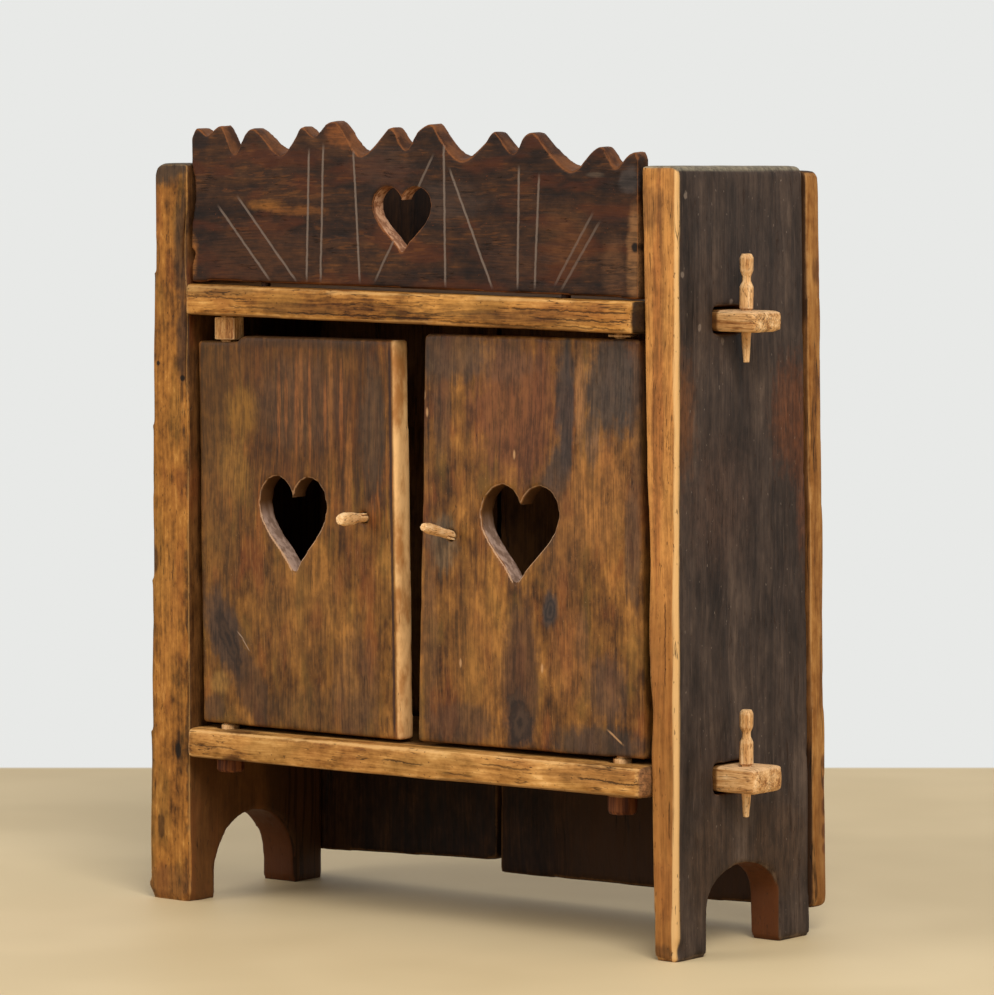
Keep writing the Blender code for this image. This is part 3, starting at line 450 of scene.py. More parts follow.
@dataclass
class Hewing:
    """How a piece's surface departs from the planed solid: all depths are inward, in metres."""
    cell: float
    rounding: int
    grain: str = "Z"
    wave: float = 0.0006
    wave_size: tuple = (0.035, 0.16)
    chips: float = 0.0018
    ease: float = 0.0
    dents: tuple = ()

    def sizes(self, pair):
        """Widths along x, y and z of lumps that are as wide across and as long along the grain."""
        across, along = pair
        size = [across] * 3
        size["XYZ".index(self.grain)] = along
        return size


# Metres: least depth of the new surface, height that counts as standing, how far an arris reaches
SKIN = 0.0002
FLOOR_TOUCH = 0.0008
ARRIS_REACH = 0.005

# Share of that reach by which smoothing sinks a sharp arris
ARRIS_SINK = 0.16

# Lumps of the eased and chipped arrises in metres; noise above which an arris is chipped, chips' bluntness
EASE_SIZE = (0.03, 0.09)
CHIP_SIZE = (0.012, 0.03)
CHIP_LIMIT = 0.25
CHIP_SHAPE = 0.7

# Where each of the three noises is read
WAVE_SEED = 3.7
CHIP_SEED = 11.3
EASE_SEED = 7.9


def hewn(node, body, material, hewing):
    """A finer body in the place of a frame node, with hewn faces, worn arrises and an arris attribute."""
    mesh = evened(merged(node), hewing.cell)
    mesh.name = "hewn_" + node
    net = Net(mesh)
    start = read_points(mesh.vertices, "co", net.count)
    outward = read_points(mesh.vertex_normals, "vector", net.count)
    reach = max(2, round((ARRIS_REACH / hewing.cell) ** 2))
    broad = net.smoothed(start, reach)
    arris = np.einsum("ij,ij->i", start - broad, outward) / (ARRIS_SINK * ARRIS_REACH)
    edge = np.clip(arris, 0.0, 1.0)
    points = net.smoothed(start, hewing.rounding)
    depth = SKIN + hewing.wave * (1.0 + field(start, hewing.sizes(hewing.wave_size), WAVE_SEED)) * 0.5
    if hewing.chips:
        flake = field(start, hewing.sizes(CHIP_SIZE), CHIP_SEED)
        share = np.clip((flake - CHIP_LIMIT) / (1 - CHIP_LIMIT), 0.0, 1.0)
        depth += hewing.chips * edge * share ** CHIP_SHAPE
    if hewing.ease:
        slack = field(start, hewing.sizes(EASE_SIZE), EASE_SEED)
        depth += hewing.ease * edge * np.clip(0.5 + slack, 0.0, 1.0)
    points = points - outward * depth[:, None]
    for middle, radii, push in hewing.dents:
        points = points + bowl(start, middle, radii)[:, None] * np.array(push)
    standing = start[:, 2] < FLOOR_TOUCH
    points[standing, 2] = np.maximum(start[standing, 2], 0.0)
    mesh.vertices.foreach_set("co", points.astype(np.float32).ravel())
    layer = mesh.attributes.new(ARRIS, "FLOAT", "POINT")
    layer.data.foreach_set("value", np.clip(arris, -1.0, 1.0).astype(np.float32))
    mesh.shade_smooth()
    mesh.materials.clear()
    mesh.materials.append(material)
    mesh.update()
    piece = placed(mesh.name, mesh)
    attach(piece, body)
    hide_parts(node)


# Woods: tones from dark to light

BLACK = (18, 12, 8)
CRACK = (44, 26, 13)
UPPER_RAIL_TONES = [(72, 40, 14), (120, 76, 31), (160, 107, 48), (186, 130, 64), (212, 158, 88)]
LOWER_RAIL_TONES = [(84, 50, 19), (138, 92, 41), (174, 122, 62), (200, 146, 80), (228, 176, 108)]
LEFT_EDGE_TONES = [(62, 36, 13), (106, 66, 26), (140, 90, 37), (162, 107, 46), (190, 134, 66)]
RIGHT_EDGE_TONES = [(112, 66, 28), (142, 90, 40), (164, 109, 53), (180, 123, 63), (200, 144, 82)]
OUTER_TONES = [(30, 22, 18), (46, 36, 30), (60, 48, 41), (74, 60, 51), (94, 77, 65)]
INNER_TONES = [(44, 25, 11), (74, 45, 20), (98, 62, 29), (120, 78, 39)]
CREST_TONES = [(22, 12, 6), (36, 21, 12), (52, 31, 17), (68, 42, 23), (92, 58, 31)]
LEFT_DOOR_TONES = [(50, 30, 13), (78, 48, 20), (104, 67, 28), (130, 86, 37), (160, 108, 50)]
RIGHT_DOOR_TONES = [(48, 30, 15), (82, 51, 24), (110, 71, 32), (136, 90, 41), (168, 114, 54)]
PEG_TONES = [(128, 80, 42), (176, 124, 72), (204, 154, 98), (224, 176, 120), (242, 202, 150)]
# Painted shade: the back boards' inside
BACK_SHADE_TONES = [(18, 10, 6), (30, 17, 9), (42, 25, 13), (58, 36, 19)]
BACK_EDGE_TONES = [(90, 54, 23), (134, 86, 40), (162, 112, 58), (182, 132, 74)]

# Tones of single marks and places
REDDISH = (134, 70, 34)
OLIVE = (112, 88, 40)
RAIL_RUBBED = (216, 168, 106)
# Painted shade on the boards' undersides
RAIL_UNDERSIDE_SHADE = (80, 48, 24)
# Painted shade on the boards inside the cupboard
RAIL_INSIDE_SHADE = (84, 52, 26)
RAIL_PIT = (58, 34, 16)
# Painted light on the tenons' tops
TENON_TOP_LIGHT = (234, 190, 140)
TENON_CRACK = (104, 62, 34)
TENON_RUBBED = (226, 182, 132)
SIDE_PALE = (104, 86, 74)
SIDE_ARCH = (80, 42, 17)
SIDE_RUBBED = (120, 96, 74)
SIDE_PIT = (54, 32, 15)
SIDE_CHALK = (150, 132, 116)
SIDE_REAR = (84, 44, 24)
EDGE_RUBBED = (214, 160, 92)
EDGE_BURNT = (50, 34, 22)
EDGE_WEATHERED = (88, 64, 30)
EDGE_SPLIT = (70, 38, 18)
# Painted highlights along the right board's rounded front arris, on its front and on its outer face
EDGE_HIGHLIGHT = (226, 182, 122)
ARRIS_HIGHLIGHT = (216, 170, 110)
INNER_LOW = (98, 62, 32)
INNER_REAR = (54, 33, 17)
INNER_GROOVE = (26, 15, 8)
CREST_RED = (82, 38, 15)
CREST_ORANGE = (116, 68, 28)
CREST_DARK = (28, 17, 10)
CREST_SPECK = (130, 66, 32)
CREST_RUBBED = (140, 84, 42)
CREST_CUT = (120, 104, 92)
FACETS = ((70, 40, 22), (120, 74, 42))
CREST_WALL = ((132, 86, 56), (196, 148, 112))
DOOR_STREAK = (52, 32, 18)
DOOR_HAIR = (168, 118, 66)
DOOR_DOT = (40, 26, 16)
DOOR_CHALK = (176, 138, 98)
HEART_WALL = ((130, 104, 88), (178, 148, 130))
# Painted shade on the upper walls of the hearts
HEART_UPPER_SHADE = (80, 52, 29)
HEART_RIM = (206, 168, 134)
LEFT_BRIGHT = (150, 90, 38)
LEFT_GREY = (60, 40, 28)
LEFT_SCRATCH = (166, 140, 118)
LEFT_LINE = (48, 30, 26)
LEFT_RUBBED = (166, 112, 58)
FREE_EDGE = ((176, 120, 66), (236, 186, 124))
RIGHT_SCRATCH = (196, 150, 104)
RIGHT_RUBBED = (160, 112, 64)
PEG_SPECK = (112, 70, 38)
PEG_RUBBED = (236, 196, 146)
PIN_HEAD = ((64, 30, 15), (112, 64, 34))
BACK_RUBBED = (128, 88, 48)
BACK_EDGE_RUBBED = (196, 150, 94)
BACK_EDGE_LOW = (112, 70, 32)
IRON_SKIN = ((34, 31, 29), (84, 54, 38))


def rail_wood(name, tones, shift, crack_amount, rubbed, stains, long_cracks, lip, lip_end_shade_tone, tenon_reach):
    """Golden board with pale tenons; lip gives the two ends of its proud front between the sides, and beside
    them the lip end tone is painted shade.
    """
    w = Wood(name, "X", (0.0, 0.0, 0.7), ring=0.006, shift=shift)
    cracks = w.cracks(0.0038, 0.07, 0.024, crack_amount) * w.ramp(w.hue, 0.36, 0.5)
    for start, end, strength in long_cracks:
        cracks = cracks.most(w.scratch(start, end, 0.0019, wobble=3.2) * strength)
    pits = w.flecks(0.002, 0.004, 0.7)
    base = w.tone(tones, broad=1.2, streak=0.8, fibre=0.6, cloud=1.4, mottle=0.9, lift=0.04)
    w.colour = w.mix(w.worn() * rubbed, w.tinted(base, 0.25, 0.25), RAIL_RUBBED)
    w.colour = w.stained(w.colour, stains)
    # Painted shade: the board's downward faces darker
    w.lay(w.faces("Z", -1) * 0.6, RAIL_UNDERSIDE_SHADE)
    # Painted shade: the ends of the proud front, and the front behind them, take the dark lip end tone
    along = w.part(w.place, "X") + (w.rag - 0.5) * 0.003
    lip_end_shade = w.ramp(along, lip[1] - 0.0035, lip[1] - 0.0005).most(w.ramp(along, lip[0] + 0.0025, lip[0]))
    lip_end_shade = lip_end_shade * w.past("Y", -0.095, -0.102)
    w.lay(lip_end_shade * 0.95, w.grained(lip_end_shade_tone))
    # Painted shade: the board darker behind its front, inside the cupboard
    w.lay(w.past("Y", -0.1, -0.092) * 0.75, RAIL_INSIDE_SHADE)
    past_sides = w.ramp(abs(w.part(w.place, "X")), tenon_reach, tenon_reach + 0.004)
    tenon = w.tone(PEG_TONES, streak=1.7, fibre=1.1, cloud=1.0, lift=0.14)
    # Painted light: the tenons' upward faces lighter
    tenon = w.mix(w.faces("Z", 1) * 0.6, tenon, TENON_TOP_LIGHT)
    tenon = w.mix(w.cracks(0.004, 0.05, 0.04, 0.8, 2.0) * 0.6, tenon, TENON_CRACK)
    tenon = w.mix(w.worn() * 0.5, tenon, TENON_RUBBED)
    w.lay(past_sides, tenon)
    w.lay(cracks * 0.85, CRACK)
    w.lay(pits * 0.75, RAIL_PIT)
    return w.done(w.colour, w.roughness(0.58), w.height(cracks, pits))


def upper_rail_wood():
    stains = [
        Stain(-0.245, 0.668, 0.06, 0.006, (92, 66, 34), 0.5),
        Stain(0.175, 0.645, 0.075, 0.01, (104, 66, 32), 0.55),
        Stain(0.06, 0.658, 0.05, 0.012, (176, 126, 64), 0.4),
        Stain(-0.12, 0.65, 0.07, 0.007, (84, 50, 24), 0.5),
    ]
    long_cracks = [
        ((-0.15, 0.6465), (0.05, 0.643), 0.9), ((0.055, 0.6415), (0.2, 0.6375), 0.7),
        ((-0.292, 0.662), (-0.2, 0.659), 0.7), ((0.15, 0.656), (0.292, 0.653), 0.8),
        ((0.18, 0.647), (0.3, 0.644), 0.9), ((0.215, 0.639), (0.3, 0.6365), 0.7),
        ((-0.06, 0.658), (0.04, 0.656), 0.5), ((-0.23, 0.651), (-0.16, 0.65), 0.6),
    ]
    # Its lip end tone, near black, is painted shade beside the side boards
    return rail_wood("upper_board_wood", UPPER_RAIL_TONES, shift=(0.2, 0.1, 0.8), crack_amount=0.75,
                     rubbed=0.45, stains=stains, long_cracks=long_cracks, lip=(-0.2904, 0.3045),
                     lip_end_shade_tone=(26, 15, 9), tenon_reach=0.353)


def lower_rail_wood():
    stains = [
        Stain(-0.2271, 0.1951, 0.03, 0.004, (60, 36, 18), 0.7),
        Stain(-0.2244, 0.1627, 0.016, 0.005, (56, 26, 14), 0.8),
        Stain(0.255, 0.185, 0.06, 0.012, (132, 88, 44), 0.5),
    ]
    long_cracks = [
        ((0.235, 0.18), (0.318, 0.178), 0.9), ((-0.285, 0.176), (-0.215, 0.1745), 0.6),
        ((-0.02, 0.179), (0.04, 0.177), 0.8), ((0.11, 0.185), (0.18, 0.183), 0.7),
        ((0.06, 0.172), (0.105, 0.17), 0.6),
    ]
    # Its lip end tone is painted shade beside the side boards, lighter than on the upper board
    return rail_wood("lower_board_wood", LOWER_RAIL_TONES, shift=(0.9, 0.4, 0.3), crack_amount=0.45,
                     rubbed=0.75, stains=stains, long_cracks=long_cracks, lip=(-0.2901, 0.3145),
                     lip_end_shade_tone=(128, 88, 56), tenon_reach=0.3545)


class Plank(Wood):
    """Side board on end: golden front edge, dark outer face, brown inner face, reddish arch."""

    def __init__(self, name, outer, edge_tones, edge_weights, shift, pith, top_tone):
        super().__init__(name, "Z", pith, ring=0.006, shift=shift)
        self.top_tone = top_tone
        self.split = self.cracks(0.005, 0.14, 0.02, 0.28)
        self.pits = self.flecks(0.0022, 0.008, 0.69)
        self.outward = self.faces("X", outer)
        outermost = self.past("Y", -0.08, -0.095)
        self.front = self.faces("Y", -1, 0.4, 0.7) * outermost
        self.outer_face = self.tone(OUTER_TONES, broad=1.4, streak=0.6, fibre=0.5, cloud=1.2, mottle=0.5)
        self.outer_face = self.mix(self.flecks(0.003, 0.06, 0.66, 1.0) * 0.25, self.outer_face, SIDE_PALE)
        self.inner_face = self.tinted(self.tone(INNER_TONES), 0.3, 0.0)
        self.edge = self.tinted(self.tone(edge_tones, **edge_weights), 0.25, 0.25)

    def finished(self):
        arch = self.ramp(abs(self.part(self.facing, "X")), 0.75, 0.45) * self.band("Y", -0.08, 0.08, 0.01)
        inner = self.mix(arch * 0.9, self.inner_face, SIDE_ARCH)
        self.outer_face = self.mix(self.worn(0.4, 0.9) * 0.45, self.outer_face, SIDE_RUBBED)
        self.colour = self.mix(self.outward, inner, self.outer_face)
        self.edge = self.mix(self.worn(0.35, 0.85) * 0.35, self.edge, EDGE_RUBBED)
        self.lay(self.front, self.edge)
        top = self.faces("Z", 1, 0.35, 0.7) * self.past("Z", 0.77, 0.79)
        self.lay(top * 0.85, self.grained(self.top_tone))
        self.lay(self.split * 0.75, CRACK)
        self.lay(self.pits * 0.6, SIDE_PIT)
        return self.done(self.colour, self.roughness(0.58), self.height(self.split, self.pits))


def side_left_wood():
    weights = dict(broad=1.0, streak=0.5, fibre=0.5, cloud=1.0, mottle=1.4)
    w = Plank("side_left_wood", -1, LEFT_EDGE_TONES, weights, shift=(0.31, 0.2, 0.0),
              pith=(-0.2, 0.1, 0.0), top_tone=(80, 68, 54))
    burnt = w.flecks(0.01, 0.05, 0.44, 3.0)
    groove = w.flecks(0.0045, 0.22, 0.53, 5.0) * w.band("Y", 0.045, 0.2, 0.01)
    near_inner = w.ramp(w.part(w.place, "X") + (w.rag - 0.5) * 0.02, -0.306, -0.296)
    w.edge = w.mix(near_inner * burnt * 0.75, w.edge, EDGE_BURNT)
    near_outer = w.ramp(w.part(w.place, "X") + (w.rag - 0.5) * 0.012, -0.344, -0.352)
    w.edge = w.mix(near_outer * 0.65, w.edge, EDGE_WEATHERED)
    w.edge = w.stained(w.edge, [
        Stain(-0.326, 0.802, 0.034, 0.02, (62, 48, 36), 0.95),
        Stain(-0.304, 0.71, 0.01, 0.06, (56, 40, 28), 0.75),
        Stain(-0.304, 0.61, 0.008, 0.045, (64, 44, 30), 0.7),
        Stain(-0.304, 0.5721, 0.003, 0.0032, BLACK, 0.95, ragged=0.3),
        Stain(-0.3386, 0.5875, 0.0025, 0.0025, BLACK, 0.9, ragged=0.3),
        Stain(-0.3122, 0.1657, 0.0042, 0.0095, BLACK, 0.95, ragged=0.3),
        Stain(-0.3444, 0.3721, 0.005, 0.014, (58, 34, 18), 0.7),
        Stain(-0.3375, 0.0811, 0.0045, 0.015, (46, 28, 16), 0.75),
        Stain(-0.325, 0.015, 0.04, 0.022, (96, 62, 34), 0.5),
        Stain(-0.325, 0.3, 0.016, 0.08, (160, 110, 52), 0.35),
    ])
    w.inner_face = w.mix(w.band("Z", -0.1, 0.17, 0.02) * 0.55, w.inner_face, INNER_LOW)
    w.inner_face = w.mix(w.band("Y", 0.02, 0.2, 0.015) * 0.75, w.inner_face, INNER_REAR)
    w.inner_face = w.mix(groove * 0.6, w.inner_face, INNER_GROOVE)
    return w.finished()


def side_right_wood():
    weights = dict(broad=1.0, streak=0.45, fibre=0.35, cloud=0.7, mottle=0.4, lift=-0.05)
    w = Plank("side_right_wood", 1, RIGHT_EDGE_TONES, weights, shift=(1.31, 0.7, 0.3),
              pith=(0.45, 0.0, 0.0), top_tone=(124, 114, 94))
    w.edge = w.stained(w.edge, [
        Stain(0.33, 0.6, 0.04, 0.25, (196, 138, 74), 0.4),
        Stain(0.335, 0.13, 0.04, 0.2, (124, 78, 36), 0.4),
        Stain(0.328, 0.57, 0.0065, 0.21, (118, 64, 30), 0.6),
        Stain(0.319, 0.76, 0.02, 0.02, (92, 58, 32), 0.5),
        Stain(0.326, 0.3, 0.01, 0.06, (116, 72, 36), 0.5),
        Stain(0.3331, 0.0064, 0.02, 0.01, (70, 44, 24), 0.6),
    ])
    split = w.scratch((0.338, 0.367), (0.338, 0.276), 0.0016, wobble=2.0).most(
        w.scratch((0.322, 0.62), (0.324, 0.48), 0.0014, wobble=2.4) * 0.6)
    w.edge = w.mix(split * 0.8, w.edge, EDGE_SPLIT)
    # Painted highlight: a pale line on the front face along its rounded outer arris
    bare_and_highlight = w.ramp(w.part(w.place, "X") + (w.streak - 0.5) * 0.008, 0.346, 0.349)
    w.edge = w.mix(bare_and_highlight * 0.8, w.edge, EDGE_HIGHLIGHT)
    w.outer_face = w.stained(w.outer_face, [
        Stain(-0.1, 0.55, 0.02, 0.055, (108, 66, 34), 0.5, ragged=1.5, soft=0.6),
        Stain(0.09, 0.545, 0.03, 0.05, (112, 64, 34), 0.5, ragged=1.5, soft=0.6),
        Stain(0.11, 0.48, 0.01, 0.09, (104, 60, 34), 0.45, ragged=1.5, soft=0.6),
        Stain(-0.04, 0.46, 0.05, 0.06, (84, 62, 50), 0.4, ragged=1.5, soft=0.6),
        Stain(0.0, 0.73, 0.07, 0.05, (56, 46, 40), 0.5),
        Stain(-0.05, 0.09, 0.04, 0.06, (66, 48, 34), 0.5),
        Stain(0.06, 0.1, 0.05, 0.05, (70, 50, 34), 0.5),
    ], face="YZ")
    chalk = w.flecks(0.003, 0.006, 0.74, 2.0)
    specks = ((-0.0966, 0.7712), (-0.1014, 0.6925), (-0.0715, 0.6398), (-0.015, 0.6637), (-0.0308, 0.6246))
    for middle in specks:
        speck = w.oval(middle, (0.0028, 0.0036), face="YZ") + (w.rag - 0.5) * 2.4
        chalk = chalk.most(w.ramp(speck, 1.2, 0.6))
    w.outer_face = w.mix(chalk * 0.45, w.outer_face, SIDE_CHALK)
    # Painted highlight: a pale line on the outer face along the same rounded front arris
    arris = w.ramp(w.part(w.place, "Y") + (w.streak - 0.5) * 0.006, -0.1045, -0.1075)
    w.outer_face = w.mix(arris * 0.85, w.outer_face, ARRIS_HIGHLIGHT)
    w.outer_face = w.mix(w.past("Y", 0.114, 0.118) * 0.5, w.outer_face, SIDE_REAR)
    return w.finished()


def crest_wood():
    w = Wood("crest_board_wood", "X", (0.0, 0.02, 0.6), ring=0.0075, shift=(0.4, 0.6, 0.1))
    cracks = w.cracks(0.0035, 0.08, 0.022, 0.2)
    w.colour = w.tone(CREST_TONES, broad=0.9, streak=0.7, fibre=0.5, cloud=1.2, mottle=0.9, rings=0.04,
                      lift=-0.05)
    w.lay(w.ramp(w.hue, 0.5, 0.64) * 0.45, CREST_RED)
    orange = w.flecks(0.003, 0.026, 0.57, 5.0) * w.ramp(w.cloud, 0.46, 0.6)
    w.lay(orange * 0.28, CREST_ORANGE)
    w.lay(w.flecks(0.0034, 0.02, 0.62, 9.0) * 0.22, CREST_DARK)
    w.lay(w.flecks(0.0018, 0.0022, 0.74, 7.0) * 0.6, CREST_SPECK)
    w.colour = w.stained(w.colour, [
        Stain(-0.1889, 0.7598, 0.026, 0.006, (130, 82, 34), 0.55),
        Stain(-0.145, 0.754, 0.04, 0.005, (116, 70, 30), 0.5),
        Stain(-0.2, 0.705, 0.07, 0.032, (62, 37, 21), 0.65),
        Stain(-0.298, 0.705, 0.012, 0.026, (136, 86, 40), 0.65),
        Stain(0.296, 0.712, 0.009, 0.05, (118, 82, 50), 0.75, ragged=0.6),
        Stain(0.27, 0.7, 0.014, 0.03, (96, 64, 40), 0.4),
        Stain(0.29, 0.788, 0.012, 0.014, (62, 54, 50), 0.65),
        Stain(0.2968, 0.7194, 0.0042, 0.005, BLACK, 0.97, ragged=0.3),
        Stain(0.2472, 0.7921, 0.01, 0.003, (96, 82, 68), 0.35),
        Stain(-0.2803, 0.8293, 0.012, 0.014, (30, 20, 16), 0.8),
        Stain(-0.0786, 0.8338, 0.026, 0.012, (124, 72, 34), 0.65),
        Stain(0.075, 0.835, 0.02, 0.01, (120, 70, 36), 0.5),
        Stain(0.05, 0.765, 0.05, 0.02, (60, 46, 38), 0.5),
        Stain(-0.03, 0.8, 0.04, 0.022, (62, 44, 34), 0.5),
        Stain(0.21, 0.73, 0.03, 0.03, (88, 56, 30), 0.4),
        Stain(0.15, 0.7, 0.045, 0.02, (60, 38, 26), 0.5),
    ])
    upward = w.faces("Z", 1, 0.15, 0.5)
    w.lay(upward * 0.65, w.mix(w.ramp(w.cloud, 0.4, 0.62), *FACETS))
    w.lay(w.worn(0.25, 0.75) * 0.5, CREST_RUBBED)
    wall = w.cut_wall(w.within((-0.0032, 0.745), (0.045, 0.045)))
    w.lay(wall * 0.85, w.mix(w.ramp(w.streak, 0.4, 0.6), *CREST_WALL))
    cuts = [w.scratch(start, end, 0.0031) * strength for start, end, strength in CREST_SCRATCHES]
    cuts = reduce(Value.most, cuts) * w.faces("Y", -1)
    w.lay(cracks * 0.7, BLACK)
    w.lay(cuts * 0.75, CREST_CUT)
    return w.done(w.colour, w.roughness(0.52), w.height(cracks) - cuts * 1.2)


class DoorWood(Wood):
    """Waxed brown plank with upright streaks; stains, walls of the heart and the free edge follow."""

    def __init__(self, name, tones, pith, shift, knots):
        super().__init__(name, "Z", pith, ring=0.0052, shift=shift, knots=knots)
        self.split = self.cracks(0.005, 0.12, 0.016, 0.2)
        base = self.tone(tones, broad=1.1, streak=0.55, fibre=0.45, cloud=1.9, mottle=0.9, rings=0.14)
        self.colour = self.tinted(base, 0.35, 0.3)
        self.lay(self.flecks(0.004, 0.06, 0.62, 4.0) * 0.25, DOOR_STREAK)
        hairs = self.flecks(0.0011, 0.03, 0.6, 12.0) * self.ramp(self.hue, 0.4, 0.6)
        self.lay(hairs * 0.3, DOOR_HAIR)
        self.dots = self.flecks(0.0016, 0.0028, 0.7, 14.0)
        self.lay(self.dots * 0.55, DOOR_DOT)
        self.lay(self.flecks(0.0014, 0.0022, 0.73, 16.0) * 0.4, DOOR_CHALK)

    def heart(self, middle, radii):
        """Colour the wall of the heart, with painted shade on its upper part, and its rim at the front."""
        inside = self.within(middle, radii)
        low = self.band("Z", 0.0, middle[1] + 0.012, 0.014)
        tone = self.mix(self.ramp(self.streak, 0.4, 0.62), *HEART_WALL)
        # Painted shade: the upper part of the wall darker
        tone = self.mix(low, HEART_UPPER_SHADE, tone)
        self.lay(self.cut_wall(inside) * 0.9, tone)
        rim = self.ramp(self.arris, 0.3, 0.75) * inside * self.past("Y", -0.09, -0.096)
        self.lay(rim * (low * 0.35 + 0.35), HEART_RIM)

    def knot(self, middle, radii, turn, dark, light, strength):
        """Rings round a knot, from its dark heart outwards."""
        far = self.oval(middle, radii, turn) + (self.rag - 0.5) * 0.5
        rings = (far * 9.0 + self.mottle * 9.0).wave() * 0.5 + 0.5
        tone = self.mix(rings * 0.5, dark, light)
        edge = far + (self.cloud + self.mottle - 1.0) * 1.6
        self.lay(self.ramp(edge, 1.35, 0.45) * strength, tone)

    def finished(self):
        self.lay(self.split * 0.7, CRACK)
        height = self.height(self.split, self.dots)
        return self.done(self.colour, self.roughness(0.5), height, strength=0.3, gloss=0.15)


# Thin orange streaks in the upper half of the left door: place across it and half length
THIN_STREAKS = ((-0.1761, 0.045), (-0.1661, 0.03), (-0.1518, 0.055), (-0.1333, 0.06), (-0.1118, 0.04),
                (-0.09, 0.05))


def door_left_wood():
    w = DoorWood("door_left_wood", LEFT_DOOR_TONES, pith=(-0.17, -0.03, 0.0), shift=(0.15, 0.33, 0.72),
                 knots=[((-0.2456, 0.2896), (0.03, 0.055), 2.6)])
    upper = w.band("Z", 0.42, 0.7, 0.05)
    w.lay(w.flecks(0.0026, 0.08, 0.57, 6.0) * upper * 0.55, LEFT_BRIGHT)
    w.lay(w.flecks(0.004, 0.07, 0.55, 8.0) * upper * 0.5, LEFT_GREY)
    w.colour = w.stained(w.colour, [
        Stain(-0.15, 0.56, 0.16, 0.12, (70, 42, 20), 0.72),
        Stain(-0.27, 0.52, 0.03, 0.12, (82, 55, 24), 0.6),
        Stain(-0.2273, 0.5372, 0.022, 0.03, (126, 88, 36), 0.6),
        Stain(-0.24, 0.4743, 0.02, 0.035, (132, 94, 42), 0.55),
        Stain(-0.26, 0.4, 0.025, 0.12, (112, 76, 38), 0.4),
        Stain(-0.1462, 0.55, 0.06, 0.05, (80, 58, 42), 0.45),
        Stain(-0.0476, 0.5239, 0.016, 0.07, (72, 56, 42), 0.6),
        Stain(-0.1461, 0.553, 0.004, 0.06, (146, 92, 46), 0.35),
        Stain(-0.1047, 0.553, 0.0036, 0.07, (146, 94, 46), 0.35),
        Stain(-0.08, 0.47, 0.005, 0.06, (146, 94, 46), 0.55),
        Stain(-0.25, 0.292, 0.024, 0.046, (60, 46, 38), 0.88, turn=-27),
        Stain(-0.2682, 0.32, 0.018, 0.028, (68, 50, 38), 0.7),
        Stain(-0.215, 0.24, 0.02, 0.045, (70, 48, 32), 0.75, turn=-25),
        Stain(-0.262, 0.242, 0.013, 0.013, (136, 100, 52), 0.6),
        Stain(-0.2687, 0.215, 0.016, 0.016, (66, 48, 36), 0.65),
        Stain(-0.11, 0.22, 0.08, 0.025, (98, 68, 38), 0.4),
        Stain(-0.07, 0.25, 0.03, 0.06, (82, 60, 44), 0.4),
        Stain(-0.15, 0.33, 0.06, 0.06, (124, 84, 42), 0.35),
        Stain(-0.15, 0.616, 0.13, 0.008, (70, 48, 30), 0.6),
    ] + [Stain(x, 0.545, 0.0024, high, (150, 90, 44), 0.38) for x, high in THIN_STREAKS])
    w.knot((-0.248, 0.29), (0.011, 0.04), turn=-27, dark=(40, 30, 25), light=(82, 60, 44), strength=0.9)
    pale = w.scratch((-0.237, 0.301), (-0.225, 0.29), 0.0016)
    pale = pale.most(w.scratch((-0.23, 0.294), (-0.2172, 0.278), 0.0014))
    w.lay(pale * 0.6, LEFT_SCRATCH)
    incised = w.scratch((-0.018, 0.198), (-0.025, 0.62), 0.0036, wobble=0.5)
    w.lay(incised * 0.85, LEFT_LINE)
    w.heart((-0.1576, 0.418), (0.06, 0.07))
    w.lay(w.worn(0.45, 0.95) * 0.35, LEFT_RUBBED)
    free = w.ramp(w.part(w.facing, "X"), 0.12, 0.55) * w.past("X", -0.05, -0.04)
    w.lay(free * 0.95, w.mix(w.ramp(w.cloud, 0.36, 0.62), *FREE_EDGE))
    return w.finished()


